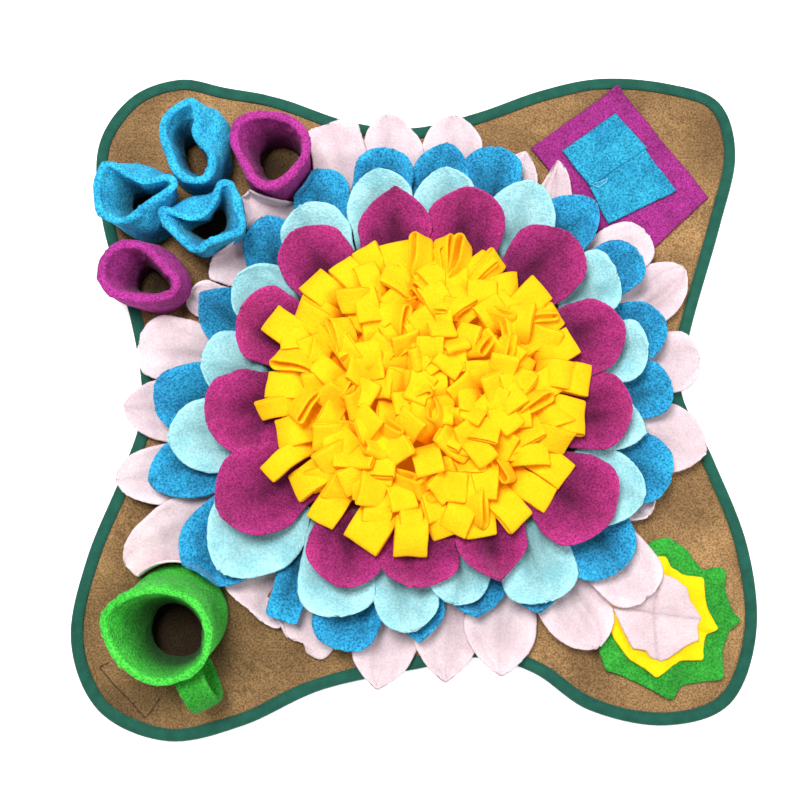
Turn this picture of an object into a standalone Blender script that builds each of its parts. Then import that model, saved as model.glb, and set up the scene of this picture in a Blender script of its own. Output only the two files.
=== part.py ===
"""A fleece snuffle mat, built in Blender as the solids of its sewn pieces.

A four-lobed mat with a taped edge carries a layered flower of petals and folded loops. Its corners
carry soft cups, a soft mug, a patch with two flaps and a flower of three stacked stars.
Sizes below are in millimetres and bearings in degrees, counter-clockwise from +X. The mat lies on
z = 0. Meshes are made in metres.
"""

import math
import random
from typing import NamedTuple

import bmesh
import bpy
from mathutils import Vector
from mathutils.geometry import delaunay_2d_cdt

METRES = 0.001
CLEAR = 0.3

# ---- the mat and its taped edge ------------------------------------------------------------------
MAT_TOP = 4.0
TAPE_THICK = 1.3
TAPE_FACE = 11.0
TAPE_SOFTEN = 1.4
TAPE_TOP = MAT_TOP + CLEAR + TAPE_THICK
# The mat's underside is stepped up above the tape. The step starts this far inside the tape's edge
# and slopes by the second number.
STEP_GAP = 1.0
STEP_SLOPE = 0.5
# Points that the mat's edge passes through, x and y, counter-clockwise: each hollow side and then
# the lobe after it.
EDGE = (
    (241, 0), (253, 58), (283, 152),
    (301, 222), (288, 274), (240, 293), (177, 298), (120, 286),
    (60, 264), (0, 249), (-60, 255),
    (-125, 278), (-178, 289), (-222, 297), (-268, 278), (-296, 228), (-288, 153),
    (-258, 60), (-246, -15), (-260, -72),
    (-289, -150), (-300, -222), (-273, -281), (-213, -306), (-148, -293),
    (-80, -263), (5, -245), (55, -236),
    (103, -249), (150, -280), (215, -293), (272, -275), (298, -215), (294, -140), (267, -62),
)
EDGE_STEPS = 2
# What is sewn onto the mat starts here.
SEWN_ON = MAT_TOP + CLEAR

# ---- the flower ----------------------------------------------------------------------------------
FLOWER_X = 8
FLOWER_Y = -5
FLEECE = 2.2
PETAL_COLUMNS = 4
SLOT_GAP_DEG = 0.9

# Outline of a petal by how far along it is: half width as a share, and how far its sides lie back
# of its middle as a share of the half width.
ROUND = (
    {"along": 0.34, "wide": 0.88, "back": 0.00},
    {"along": 0.68, "wide": 1.00, "back": 0.08},
    {"along": 0.90, "wide": 0.78, "back": 0.26},
    {"along": 1.00, "wide": 0.40, "back": 0.30},
)
POINTED = (
    {"along": 0.34, "wide": 0.88, "back": 0.00},
    {"along": 0.64, "wide": 0.96, "back": 0.10},
    {"along": 0.87, "wide": 0.58, "back": 0.20},
    {"along": 1.00, "wide": 0.12, "back": 0.40},
)
BLOCKY = (
    {"along": 0.34, "wide": 0.88, "back": 0.00},
    {"along": 0.68, "wide": 1.02, "back": 0.02},
    {"along": 0.92, "wide": 0.96, "back": 0.06},
    {"along": 1.00, "wide": 0.74, "back": 0.10},
)
# A petal has its full lift, roll and cup from this share of its length on.
PETAL_GROWN = 0.5


class Petal(NamedTuple):
    """How one petal lies: tip's bearing and reach from the flower's middle, width, roll in degrees
    (clockwise side up), lift, rise of the tip, cup (sides up), crease (middle down) and outline."""

    bearing: float
    reach: float
    width: float
    roll: float
    lift: float
    rise: float
    cup: float
    crease: float
    form: tuple


# Rings of petals. The band is the sewn foot of a ring: it lies on the mat at its inner edge and
# climbs to the ring's level at its outer edge. Roots are evenly spaced from first_root on.
RINGS = (
    {
        "name": "petals_pink", "inner": 170, "outer": 184, "level": 10.0, "tip_level": 9.0,
        "first_root": 6,
        "petals": (
            Petal(8, 248, 56, 4, 0, 0, 1, 0, BLOCKY),
            Petal(25, 264, 56, 4, 0, 4, 3, 3, ROUND),
            Petal(36, 250, 50, 3, 0, 8, 2, 0, ROUND),
            Petal(58, 247, 32, 2, 3, 3, 1, 0, POINTED),
            Petal(67, 243, 40, 4, 0, 0, 1, 0, POINTED),
            Petal(84, 261, 54, 4, 0, 1, 1, 0, ROUND),
            Petal(97, 262, 56, 4, 0, 1, 1, 0, ROUND),
            Petal(109, 262, 46, 4, 0, 1, 1, 0, BLOCKY),
            Petal(132, 214, 40, 2, 0, 4, 3, 0, ROUND),
            Petal(146, 210, 34, 2, 0, 4, 2, 0, BLOCKY),
            Petal(156, 214, 26, 3, 0, 2, 1, 0, ROUND),
            Petal(170, 256, 54, 5, 0, 0, 1, 0, ROUND),
            Petal(183, 266, 54, 4, 0, 0, 1, 0, ROUND),
            Petal(196, 281, 52, 4, 0, 0, 0, 0, ROUND),
            Petal(208, 284, 52, 5, 1, 1, 1, 0, ROUND),
            Petal(235, 232, 26, 0, 2, 3, 0, 0, BLOCKY),
            Petal(245, 246, 58, 3, 0, 1, 0, 4, BLOCKY),
            Petal(261, 259, 60, 6, 0, 1, 1, 0, POINTED),
            Petal(274, 250, 54, 6, 0, 1, 0, 0, POINTED),
            Petal(286, 253, 62, 6, 0, 1, 1, 0, POINTED),
            Petal(303, 264, 60, 4, 3, 1, 1, 0, ROUND),
            Petal(317, 258, 58, 3, 3, 4, 1, 0, ROUND),
            Petal(332, 222, 40, 4, 0, 0, 1, 0, ROUND),
            Petal(348, 254, 62, 4, 0, 1, 1, 0, ROUND),
        ),
    },
    {
        "name": "petals_blue", "inner": 150, "outer": 165, "level": 18.5, "tip_level": 17.5,
        "first_root": -2,
        "petals": (
            Petal(2, 217, 50, 4, 0, 2, 1, 3, ROUND),
            Petal(16, 223, 56, 4, 0, 1, 1, 0, ROUND),
            Petal(33, 229, 46, 4, 0, 0, 0, 0, BLOCKY),
            Petal(48, 233, 52, 4, 0, 1, 1, 0, ROUND),
            Petal(74, 233, 52, 4, 0, 0, 1, 0, ROUND),
            Petal(84, 229, 48, 4, 0, 0, 1, 0, ROUND),
            Petal(98, 224, 50, 5, 0, 0, 1, 0, BLOCKY),
            Petal(113, 206, 42, 5, 1, 3, 0, 0, ROUND),
            Petal(132, 212, 50, 4, 0, 1, 1, 0, ROUND),
            Petal(156, 217, 54, 4, 0, 1, 1, 0, POINTED),
            Petal(183, 236, 54, 4, 0, 0, 1, 0, BLOCKY),
            Petal(199, 248, 56, 4, 0, 0, 1, 0, ROUND),
            Petal(219, 243, 68, 3, 0, 0, 2, 0, ROUND),
            Petal(239, 235, 32, 4, 0, 1, 0, 0, BLOCKY),
            Petal(252, 233, 54, 4, 0, 0, 1, 0, ROUND),
            Petal(269, 215, 46, 4, 0, 0, 1, 0, POINTED),
            Petal(284, 197, 46, 4, 0, 0, 1, 0, POINTED),
            Petal(297, 214, 54, 4, 0, 0, 1, 0, POINTED),
            Petal(317, 228, 62, 4, 0, 0, 1, 0, ROUND),
            Petal(341, 227, 58, 4, 0, 0, 1, 0, ROUND),
        ),
    },
    {
        "name": "petals_aqua", "inner": 131, "outer": 146, "level": 26.5, "tip_level": 25.5,
        "first_root": 14,
        "petals": (
            Petal(10, 198, 54, 4, 0, 0, 1, 0, ROUND),
            Petal(31, 199, 58, 4, 0, 0, 1, 0, BLOCKY),
            Petal(62, 212, 60, 4, 0, 1, 1, 0, ROUND),
            Petal(85, 202, 56, 4, 0, 0, 1, 0, ROUND),
            Petal(102, 204, 58, 4, 0, 0, 1, 0, ROUND),
            Petal(123, 199, 58, 4, 0, 0, 1, 0, ROUND),
            Petal(149, 193, 56, 4, 0, 0, 1, 0, ROUND),
            Petal(173, 196, 58, 4, 0, 0, 1, 0, ROUND),
            Petal(191, 225, 66, 4, 0, 0, 1, 0, ROUND),
            Petal(222, 233, 80, 3, 0, 0, 1, 0, ROUND),
            Petal(249, 207, 62, 4, 0, 0, 1, 0, ROUND),
            Petal(267, 206, 54, 4, 0, 0, 1, 0, ROUND),
            Petal(277, 184, 50, 4, 0, 0, 1, 0, POINTED),
            Petal(300, 209, 62, 4, 0, 1, 1, 3, ROUND),
            Petal(333, 210, 64, 4, 0, 0, 1, 0, ROUND),
            Petal(349, 196, 46, 4, 0, 1, 0, 0, POINTED),
        ),
    },
    {
        "name": "petals_purple", "inner": 113, "outer": 127, "level": 34.5, "tip_level": 33.5,
        "first_root": 19,
        "petals": (
            Petal(17, 182, 64, 4, 0, 0, 2, 0, ROUND),
            Petal(46, 187, 68, 4, 0, 1, 2, 0, ROUND),
            Petal(77, 182, 62, 4, 0, 0, 2, 2, ROUND),
            Petal(98, 181, 64, 4, 0, 1, 2, 3, ROUND),
            Petal(128, 179, 60, 4, 0, 0, 2, 0, ROUND),
            Petal(158, 173, 62, 4, 0, 0, 2, 0, ROUND),
            Petal(190, 188, 72, 4, 0, 0, 2, 0, ROUND),
            Petal(211, 202, 74, 4, 2, 0, 2, 0, ROUND),
            Petal(248, 182, 64, 4, 0, 0, 2, 0, ROUND),
            Petal(267, 169, 64, 4, 0, 0, 2, 0, ROUND),
            Petal(290, 174, 54, 4, 0, 1, 2, 3, POINTED),
            Petal(324, 193, 80, 4, 0, 0, 2, 0, ROUND),
            Petal(355, 178, 64, 4, 0, 0, 2, 0, ROUND),
        ),
    },
)

# Yellow folded strips stand in rows on a round backing. Lower part upright, upper part bent out.
LOOP_BACKING_R = 112.5
LOOP_BACKING = 2.2
BACKING_STEPS = 32
FILL_TOLERANCE = 1e-4
# Sections of a strip at its foot, knee and top.
LOOP_SECTIONS = (
    {"wide": 19.0, "thick": 5.0},
    {"wide": 25.0, "thick": 6.0},
    {"wide": 25.0, "thick": 5.0},
)
# twist and tilt are the most that a strip may turn about its own length and bend more or less.
LOOP_ROWS = (
    {"radius": 8, "count": 2, "stand": 38, "lean": 6, "reach": 22, "bend": 14, "twist": 80, "tilt": 14},
    {"radius": 22, "count": 5, "stand": 38, "lean": 7, "reach": 22, "bend": 20, "twist": 73, "tilt": 13},
    {"radius": 36, "count": 8, "stand": 37, "lean": 8, "reach": 22, "bend": 28, "twist": 66, "tilt": 12},
    {"radius": 50, "count": 11, "stand": 36, "lean": 9, "reach": 23, "bend": 36, "twist": 59, "tilt": 11},
    {"radius": 64, "count": 14, "stand": 34, "lean": 9, "reach": 24, "bend": 44, "twist": 52, "tilt": 10},
    {"radius": 77, "count": 17, "stand": 32, "lean": 9, "reach": 26, "bend": 52, "twist": 45, "tilt": 9},
    {"radius": 90, "count": 19, "stand": 31, "lean": 8, "reach": 28, "bend": 60, "twist": 36, "tilt": 5},
    {"radius": 103, "count": 21, "stand": 29, "lean": 7, "reach": 32, "bend": 66, "twist": 30, "tilt": 3},
)
LOOP_GAP = 0.5
NEARLY_PARALLEL = 1e-3
LOOP_SHIFT_DEG = 3.0
LOOP_TRIES = 60
LOOP_SEED = 10

# ---- cups and mug --------------------------------------------------------------------------------
CUP_STEPS = 20
# A cup widens from its foot to its rim over this share of its height.
CUP_FLARE = 0.87
# The outer and inner lines of a cup's wall, by how far up it is and how far in from outside, as
# shares of the wall and of the lip.
CUP_PROFILE = (
    {"climb": 0.00, "of_wall": 0.0, "of_lip": 0.0},
    {"climb": 0.45, "of_wall": 0.0, "of_lip": 0.0},
    {"climb": 0.93, "of_wall": 0.0, "of_lip": 0.0},
    {"climb": 1.00, "of_wall": 0.0, "of_lip": 0.3},
    {"climb": 1.00, "of_wall": 0.0, "of_lip": 0.7},
    {"climb": 0.93, "of_wall": 0.0, "of_lip": 1.0},
    {"climb": 0.80, "of_wall": 0.5, "of_lip": 0.5},
    {"climb": 0.45, "of_wall": 1.0, "of_lip": 0.0},
    {"climb": 0.00, "of_wall": 1.0, "of_lip": 0.0},
)
# foot: middle and radius on the mat. rim: middle, height and eight radii, at bearings 0, 45 .. 315.
CUPS = (
    {
        "name": "blue_cup_1", "foot_x": -197, "foot_y": 209, "foot_r": 30, "wall": 4.5, "lip": 7,
        "rim_x": -195, "rim_y": 208, "height": 62, "colour": (0.03, 0.35, 0.65),
        "rim": (18, 15, 32, 32, 28, 31, 38, 35),
    },
    {
        "name": "blue_cup_2", "foot_x": -242, "foot_y": 161, "foot_r": 25, "wall": 4.5, "lip": 7,
        "rim_x": -246, "rim_y": 160, "height": 60, "colour": (0.03, 0.35, 0.65),
        "rim": (37, 31, 28, 33, 32, 32, 26, 23),
    },
    {
        "name": "blue_cup_3", "foot_x": -190, "foot_y": 150, "foot_r": 25, "wall": 4.5, "lip": 7,
        "rim_x": -186, "rim_y": 144, "height": 58, "colour": (0.03, 0.35, 0.65),
        "rim": (35, 34, 27, 24, 31, 30, 32, 34),
    },
    {
        "name": "purple_cup_1", "foot_x": -125, "foot_y": 203, "foot_r": 30, "wall": 4.5, "lip": 8,
        "rim_x": -128, "rim_y": 205, "height": 58, "colour": (0.40, 0.03, 0.30),
        "rim": (36, 36, 35, 35, 35, 35, 36, 36),
    },
    {
        "name": "purple_cup_2", "foot_x": -230, "foot_y": 94, "foot_r": 25, "wall": 4.5, "lip": 8,
        "rim_x": -234, "rim_y": 94, "height": 54, "colour": (0.40, 0.03, 0.30),
        "rim": (33, 30, 28, 32, 37, 34, 29, 32),
    },
    {
        "name": "green_mug", "foot_x": -207, "foot_y": -199, "foot_r": 44, "wall": 5.5, "lip": 9,
        "rim_x": -209, "rim_y": -210, "height": 76, "colour": (0.04, 0.42, 0.05),
        "rim": (45, 44, 44, 43, 43, 43, 43, 44),
    },
)
# The mug's handle is a folded strap bent into a D against the wall.
HANDLE_BEARING = -63
HANDLE_WIDE = 27
HANDLE_THICK = 5.0
HANDLE_STEPS = 10
HANDLE_LOW = 14
HANDLE_HIGH = 56
HANDLE_OUT = 34
# Below 1 the D is squarer than a half ellipse.
HANDLE_SQUARENESS = 0.8

# ---- patch, flaps and stars ----------------------------------------------------------------------
# The patch and its flaps lie square to one another, their long side at this bearing.
PATCH_TURN = -53
PATCH = {"x": 191, "y": 200, "long": 132, "short": 98}
FLAPS = (
    {"name": "blue_flap_1", "x": 176, "y": 225, "long": 43, "short": 63, "lift": 2.5, "open": 1},
    {"name": "blue_flap_2", "x": 203, "y": 187, "long": 50, "short": 63, "lift": 2.5, "open": -1},
)
# Layers of the star from the lowest up. Each rise is how far its points stand up.
STAR_X = 212
STAR_Y = -202
STARS = (
    {"name": "star_green", "radius": 70, "notch": 60, "turn": -1, "rise": 1.0,
     "colour": (0.03, 0.38, 0.04)},
    {"name": "star_yellow", "radius": 52, "notch": 43, "turn": -6, "rise": 1.0,
     "colour": (1.0, 0.80, 0.02)},
    {"name": "star_pink", "radius": 38, "notch": 33, "turn": 0, "rise": 1.5,
     "colour": (0.85, 0.70, 0.75)},
)
STAR_GAP = 0.6
STAR_POINTS = 8
# A star's layer is flat out to this share of its radius.
STAR_FLAT = 0.5

COLOURS = {
    "mat_base": (0.30, 0.17, 0.06),
    "edge_binding": (0.04, 0.22, 0.16),
    "petals_pink": (0.85, 0.70, 0.75),
    "petals_blue": (0.01, 0.24, 0.58),
    "petals_aqua": (0.45, 0.78, 0.83),
    "petals_purple": (0.30, 0.02, 0.15),
    "yellow_loops": (1.0, 0.75, 0.01),
    "blue_flap": (0.03, 0.35, 0.65),
    "purple_patch": (0.40, 0.03, 0.30),
}
FLEECE_ROUGHNESS = 0.95


# ---- helpers -------------------------------------------------------------------------------------
def polar(bearing, radius):
    """x and y at a bearing in degrees and a distance."""
    angle = math.radians(bearing)
    return radius * math.cos(angle), radius * math.sin(angle)


def smooth(share):
    """Ease from 0 to 1."""
    share = min(max(share, 0.0), 1.0)
    return share * share * (3.0 - 2.0 * share)


def closed_curve(knots, place):
    """Point on a smooth closed curve through the knots; place 1.5 is midway from knot 1 to 2."""
    index = int(place)
    share = place - index
    near = [knots[(index + shift) % len(knots)] for shift in (-1, 0, 1, 2)]
    return [
        0.5 * (
            2 * here
            + (after - before) * share
            + (2 * before - 5 * here + 4 * after - beyond) * share ** 2
            + (3 * here - before - 3 * after + beyond) * share ** 3
        )
        for before, here, after, beyond in zip(*near)
    ]


def rim_radius(cup, bearing):
    """Radius of a cup's rim at a bearing, smooth through its eight radii."""
    knots = [(radius,) for radius in cup["rim"]]
    return closed_curve(knots, bearing * len(knots) / 360)[0]


def clear_scene():
    for thing in list(bpy.data.objects):
        bpy.data.objects.remove(thing, do_unlink=True)


def fleece_material(name, colour):
    material = bpy.data.materials.new(name)
    material.use_nodes = True
    shader = material.node_tree.nodes["Principled BSDF"]
    shader.inputs["Base Color"].default_value = (*colour, 1.0)
    shader.inputs["Roughness"].default_value = FLEECE_ROUGHNESS
    shader.inputs["Metallic"].default_value = 0.0
    material.diffuse_color = (*colour, 1.0)
    return material


def solid(name, points, faces, colour):
    """Make a closed object from points in millimetres, with its faces turned outwards."""
    mesh = bpy.data.meshes.new(name)
    mesh.from_pydata([Vector(point) * METRES for point in points], [], faces)
    work = bmesh.new()
    work.from_mesh(mesh)
    bmesh.ops.recalc_face_normals(work, faces=work.faces)
    work.to_mesh(mesh)
    work.free()
    mesh.materials.append(fleece_material(name, colour))
    thing = bpy.data.objects.new(name, mesh)
    bpy.context.scene.collection.objects.link(thing)
    return thing


def loft(rings, closed_ends=True):
    """Faces between rings of equally many points, for points listed ring after ring."""
    count = len(rings[0])
    points = [point for ring in rings for point in ring]
    faces = []
    for row in range(len(rings) - 1):
        for step in range(count):
            after = (step + 1) % count
            start = row * count
            faces.append((start + step, start + after, start + count + after, start + count + step))
    if closed_ends:
        faces.append(tuple(range(count)))
        faces.append(tuple(range(len(points) - count, len(points))))
    return points, faces


def sheet_normals(grid):
    """Unit normals of a grid of mid-surface points, from the differences to the neighbours."""
    rows = len(grid)
    columns = len(grid[0])
    normals = []
    for row in range(rows):
        line = []
        for column in range(columns):
            ahead = grid[min(row + 1, rows - 1)][column] - grid[max(row - 1, 0)][column]
            across = grid[row][min(column + 1, columns - 1)] - grid[row][max(column - 1, 0)]
            normal = across.cross(ahead)
            if normal.z < 0:
                normal.negate()
            line.append(normal.normalized())
        normals.append(line)
    return normals


# ---- mat and tape --------------------------------------------------------------------------------
def mat_outline():
    """Outline of the mat as (point, outward normal) pairs, counter-clockwise."""
    count = len(EDGE) * EDGE_STEPS
    places = [Vector(closed_curve(EDGE, step / EDGE_STEPS)) for step in range(count)]
    outline = []
    for step, place in enumerate(places):
        ahead = places[(step + 1) % count] - places[step - 1]
        outline.append((place, Vector((ahead.y, -ahead.x)).normalized()))
    return outline


def inset(outline, distance, height):
    """The outline drawn in by a distance, at a height."""
    return [(*(point - normal * distance), height) for point, normal in outline]


def build_mat():
    """The fleece base, its rim stepped up so that the tape lies level with its underside."""
    outline = mat_outline()
    clear_of_tape = TAPE_THICK + CLEAR
    step_in = TAPE_FACE + STEP_GAP
    rings = [
        inset(outline, step_in + STEP_SLOPE, 0.0),
        inset(outline, step_in, clear_of_tape),
        inset(outline, clear_of_tape, clear_of_tape),
        inset(outline, clear_of_tape, MAT_TOP),
    ]
    points, faces = loft(rings)
    return solid("mat_base", points, faces, COLOURS["mat_base"])


def build_tape():
    """A tape folded round the edge: one ring with a C-shaped section."""
    outline = mat_outline()
    section = (
        (TAPE_FACE, TAPE_TOP),
        (TAPE_SOFTEN, TAPE_TOP),
        (0.0, TAPE_TOP - TAPE_SOFTEN),
        (0.0, TAPE_SOFTEN),
        (TAPE_SOFTEN, 0.0),
        (TAPE_FACE, 0.0),
        (TAPE_FACE, TAPE_THICK),
        (TAPE_THICK, TAPE_THICK),
        (TAPE_THICK, TAPE_TOP - TAPE_THICK),
        (TAPE_FACE, TAPE_TOP - TAPE_THICK),
    )
    rings = [inset(outline, distance, height) for distance, height in section]
    rings.append(rings[0])
    points, faces = loft(rings, closed_ends=False)
    count = len(outline)
    last = len(points) - count
    points = points[:last]
    faces = [tuple(index - last if index >= last else index for index in face) for face in faces]
    return solid("edge_binding", points, faces, COLOURS["edge_binding"])


# ---- petals --------------------------------------------------------------------------------------
def across_petal():
    """Shares of a petal's half width, from one side at -1 to the other at 1."""
    return [-1 + 2 * column / PETAL_COLUMNS for column in range(PETAL_COLUMNS + 1)]


def root_line(ring, index, radius, height):
    """Points across one petal's slot, at a distance from the flower's middle."""
    slot = 360 / len(ring["petals"])
    root_bearing = ring["first_root"] + index * slot
    half_slot = slot / 2 - SLOT_GAP_DEG / 2
    line = []
    for share in across_petal():
        x, y = polar(root_bearing + share * half_slot, radius)
        line.append(Vector((x + FLOWER_X, y + FLOWER_Y, height)))
    return line


def petal_surface(ring, index):
    """Mid-surface points of one petal, row by row from the band's outer edge to the tip."""
    petal = ring["petals"][index]
    root_bearing = ring["first_root"] + index * 360 / len(ring["petals"])
    start = Vector((*polar(root_bearing, ring["outer"]), 0))
    tip = Vector((*polar(petal.bearing, petal.reach), 0))
    axis = (tip - start).normalized()
    side = Vector((-axis.y, axis.x, 0))
    flower = Vector((FLOWER_X, FLOWER_Y, 0))
    rows = [root_line(ring, index, ring["outer"], ring["level"])]
    tilt = math.tan(math.radians(petal.roll))
    for part in petal.form:
        along = part["along"]
        half = petal.width / 2 * part["wide"]
        middle = flower + start.lerp(tip, along)
        grown = smooth(along / PETAL_GROWN)
        level = ring["level"] + (ring["tip_level"] - ring["level"]) * along
        row = []
        for share in across_petal():
            height = level + grown * (petal.lift - tilt * share * half)
            height += petal.rise * along ** 3 + grown * petal.cup * share ** 2
            height -= grown * petal.crease * (1 - abs(share)) * (1 - 0.5 * along)
            place = middle + side * (share * half) - axis * (part["back"] * half * share ** 2)
            row.append(Vector((place.x, place.y, height)))
        rows.append(row)
    return rows


def build_petal_ring(ring):
    """A ring of petals fused at their roots: a sloped band whose outer edge runs out into petals."""
    half_sheet = FLEECE / 2
    points = []
    faces = []

    def add(point):
        points.append(tuple(point))
        return len(points) - 1

    lower_inner, upper_inner, lower_outer, upper_outer = [], [], [], []
    for index in range(len(ring["petals"])):
        surface = petal_surface(ring, index)
        normals = sheet_normals(surface)
        lower_inner += [add(point) for point in root_line(ring, index, ring["inner"], SEWN_ON)]
        upper_inner += [add(point) for point in root_line(ring, index, ring["inner"], SEWN_ON + FLEECE)]
        low_row = [add(point - Vector((0, 0, half_sheet))) for point in surface[0]]
        high_row = [add(point + Vector((0, 0, half_sheet))) for point in surface[0]]
        lower_outer += low_row
        upper_outer += high_row
        loop = low_row + high_row[::-1]
        for row in range(1, len(surface)):
            low_next, high_next = [], []
            for column in range(PETAL_COLUMNS + 1):
                shift = normals[row][column] * half_sheet
                low_next.append(add(surface[row][column] - shift))
                high_next.append(add(surface[row][column] + shift))
            next_loop = low_next + high_next[::-1]
            size = len(loop)
            for step in range(size):
                after = (step + 1) % size
                faces.append((loop[step], loop[after], next_loop[after], next_loop[step]))
            loop = next_loop
        for column in range(PETAL_COLUMNS):
            faces.append((low_next[column], low_next[column + 1], high_next[column + 1], high_next[column]))
    total = len(lower_inner)
    for step in range(total):
        after = (step + 1) % total
        faces.append((lower_inner[step], lower_inner[after], upper_inner[after], upper_inner[step]))
        faces.append((upper_inner[step], upper_inner[after], upper_outer[after], upper_outer[step]))
        faces.append((lower_inner[step], lower_inner[after], lower_outer[after], lower_outer[step]))
        between_petals = step % (PETAL_COLUMNS + 1) == PETAL_COLUMNS
        if between_petals:
            faces.append((lower_outer[step], lower_outer[after], upper_outer[after], upper_outer[step]))
    return solid(ring["name"], points, faces, COLOURS[ring["name"]])


# ---- yellow loops --------------------------------------------------------------------------------
def loop_sections(row, bearing, twist, tilt):
    """Four-cornered sections of one folded strip: foot, knee and top."""
    outward = Vector((*polar(bearing + twist, 1), 0))
    side = Vector((-outward.y, outward.x, 0))
    up = Vector((0, 0, 1))
    foot = Vector((*polar(bearing, row["radius"]), SEWN_ON + LOOP_BACKING))
    foot += Vector((FLOWER_X, FLOWER_Y, 0))
    lean = math.radians(row["lean"])
    bend = math.radians(row["bend"] + tilt)
    first = outward * math.sin(lean) + up * math.cos(lean)
    second = outward * math.sin(bend) + up * math.cos(bend)
    knee = foot + first * row["stand"]
    top = knee + second * row["reach"]
    headings = (up, (first + second).normalized(), second)
    sections = []
    for place, heading, size in zip((foot, knee, top), headings, LOOP_SECTIONS):
        across = side * (size["wide"] / 2)
        through = side.cross(heading).normalized() * (size["thick"] / 2)
        sections.append([place - across - through, place + across - through,
                         place + across + through, place - across + through])
    return sections


def boxes_of(sections):
    """Two slabs, one for each part of a strip, as (middle, axes, half sizes)."""
    slabs = []
    for low, high in zip(sections, sections[1:]):
        middle = sum(low + high, Vector()) / 8
        across = (low[1] - low[0]).normalized()
        along = (sum(high, Vector()) - sum(low, Vector())).normalized()
        through = across.cross(along).normalized()
        corners = [corner - middle for corner in low + high]
        axes = (across, along, through)
        halves = [max(abs(corner.dot(axis)) for corner in corners) for axis in axes]
        slabs.append((middle, axes, halves))
    return slabs


def slabs_meet(one, two):
    """Separating-axis test of two slabs, with a gap between them."""
    apart = two[0] - one[0]
    crossed = [a.cross(b) for a in one[1] for b in two[1]]
    tries = [*one[1], *two[1], *(axis for axis in crossed if axis.length > NEARLY_PARALLEL)]
    for axis in tries:
        axis = axis.normalized()
        reach_one = sum(half * abs(axis.dot(direction)) for half, direction in zip(one[2], one[1]))
        reach_two = sum(half * abs(axis.dot(direction)) for half, direction in zip(two[2], two[1]))
        if abs(apart.dot(axis)) > reach_one + reach_two + LOOP_GAP:
            return False
    return True


def place_loops():
    """Every strip's sections, turned at random as far as its neighbours allow."""
    dice = random.Random(LOOP_SEED)
    placed = []
    taken = []
    for row in LOOP_ROWS:
        first = dice.uniform(0, 360)
        for number in range(row["count"]):
            even = first + 360 * number / row["count"]
            for attempt in range(LOOP_TRIES):
                freedom = 1 - attempt / LOOP_TRIES
                bearing = even + dice.uniform(-LOOP_SHIFT_DEG, LOOP_SHIFT_DEG) * freedom
                twist = dice.uniform(-row["twist"], row["twist"]) * freedom
                tilt = dice.uniform(-row["tilt"], row["tilt"]) * freedom
                sections = loop_sections(row, bearing, twist, tilt)
                slabs = boxes_of(sections)
                if not any(slabs_meet(slab, other) for slab in slabs for other in taken):
                    placed.append(sections)
                    taken += slabs
                    break
    return placed


def backing_top(rim, feet):
    """Triangles of a flat disc between its rim and the four-cornered feet that stand on it."""
    flat = rim + [corner.xy for foot in feet for corner in foot]
    loops = [list(range(len(rim)))]
    loops += [[len(rim) + 4 * foot + corner for corner in range(4)] for foot in range(len(feet))]
    edges = [(loop[step - 1], loop[step]) for loop in loops for step in range(len(loop))]
    _, _, triangles, source, _, _ = delaunay_2d_cdt(flat, edges, [], 0, FILL_TOLERANCE)
    owner = {corner: number for number, loop in enumerate(loops[1:]) for corner in loop}
    faces = []
    for triangle in triangles:
        corners = [source[corner][0] for corner in triangle]
        owners = {owner.get(corner, -1 - corner) for corner in corners}
        if len(owners) > 1:
            faces.append(tuple(corners))
    return faces


def build_loops():
    """A round backing whose top opens into the foot of every strip, so that all is one body."""
    top = SEWN_ON + LOOP_BACKING
    middle = Vector((FLOWER_X, FLOWER_Y))
    rim = [middle + Vector(polar(360 * step / BACKING_STEPS, LOOP_BACKING_R))
           for step in range(BACKING_STEPS)]
    strips = place_loops()
    points = [(*place, top) for place in rim]
    points += [corner for sections in strips for corner in sections[0]]
    faces = backing_top(rim, [sections[0] for sections in strips])
    under = len(points)
    points += [(*place, SEWN_ON) for place in rim]
    faces.append(tuple(range(under, under + BACKING_STEPS)))
    for step in range(BACKING_STEPS):
        after = (step + 1) % BACKING_STEPS
        faces.append((step, after, under + after, under + step))
    for number, sections in enumerate(strips):
        low = BACKING_STEPS + 4 * number
        for section in sections[1:]:
            high = len(points)
            points += section
            for step in range(4):
                after = (step + 1) % 4
                faces.append((low + step, low + after, high + after, high + step))
            low = high
        faces.append(tuple(range(low, low + 4)))
    return solid("yellow_loops", points, faces, COLOURS["yellow_loops"])


# ---- cups, mug and handle ------------------------------------------------------------------------
def cup_middle(cup, climb):
    """Middle of a cup at a share of its height, 0 at the foot and 1 at the rim."""
    foot = Vector((cup["foot_x"], cup["foot_y"], SEWN_ON))
    rim = Vector((cup["rim_x"], cup["rim_y"], cup["height"]))
    return foot.lerp(rim, climb)


def wall_radius(cup, bearing, climb):
    """Radius of a cup's outside at a bearing and a share of its height."""
    share = smooth(climb / CUP_FLARE)
    return cup["foot_r"] + (rim_radius(cup, bearing) - cup["foot_r"]) * share


def cup_ring(cup, climb, inward):
    """A ring round a cup at a share of its height, a distance inward from its outside."""
    ring = []
    for step in range(CUP_STEPS):
        bearing = 360 * step / CUP_STEPS
        spoke = Vector((*polar(bearing, wall_radius(cup, bearing, climb) - inward), 0))
        ring.append(cup_middle(cup, climb) + spoke)
    return ring


def build_cup(cup):
    """An open tube with a soft wall, a thicker rounded lip and a flat foot."""
    rings = []
    for stage in CUP_PROFILE:
        inward = cup["wall"] * stage["of_wall"] + cup["lip"] * stage["of_lip"]
        rings.append(cup_ring(cup, stage["climb"], inward))
    points, faces = loft(rings, closed_ends=False)
    last = len(points) - CUP_STEPS
    for step in range(CUP_STEPS):
        after = (step + 1) % CUP_STEPS
        faces.append((step, after, last + after, last + step))
    return solid(cup["name"], points, faces, cup["colour"])


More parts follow.
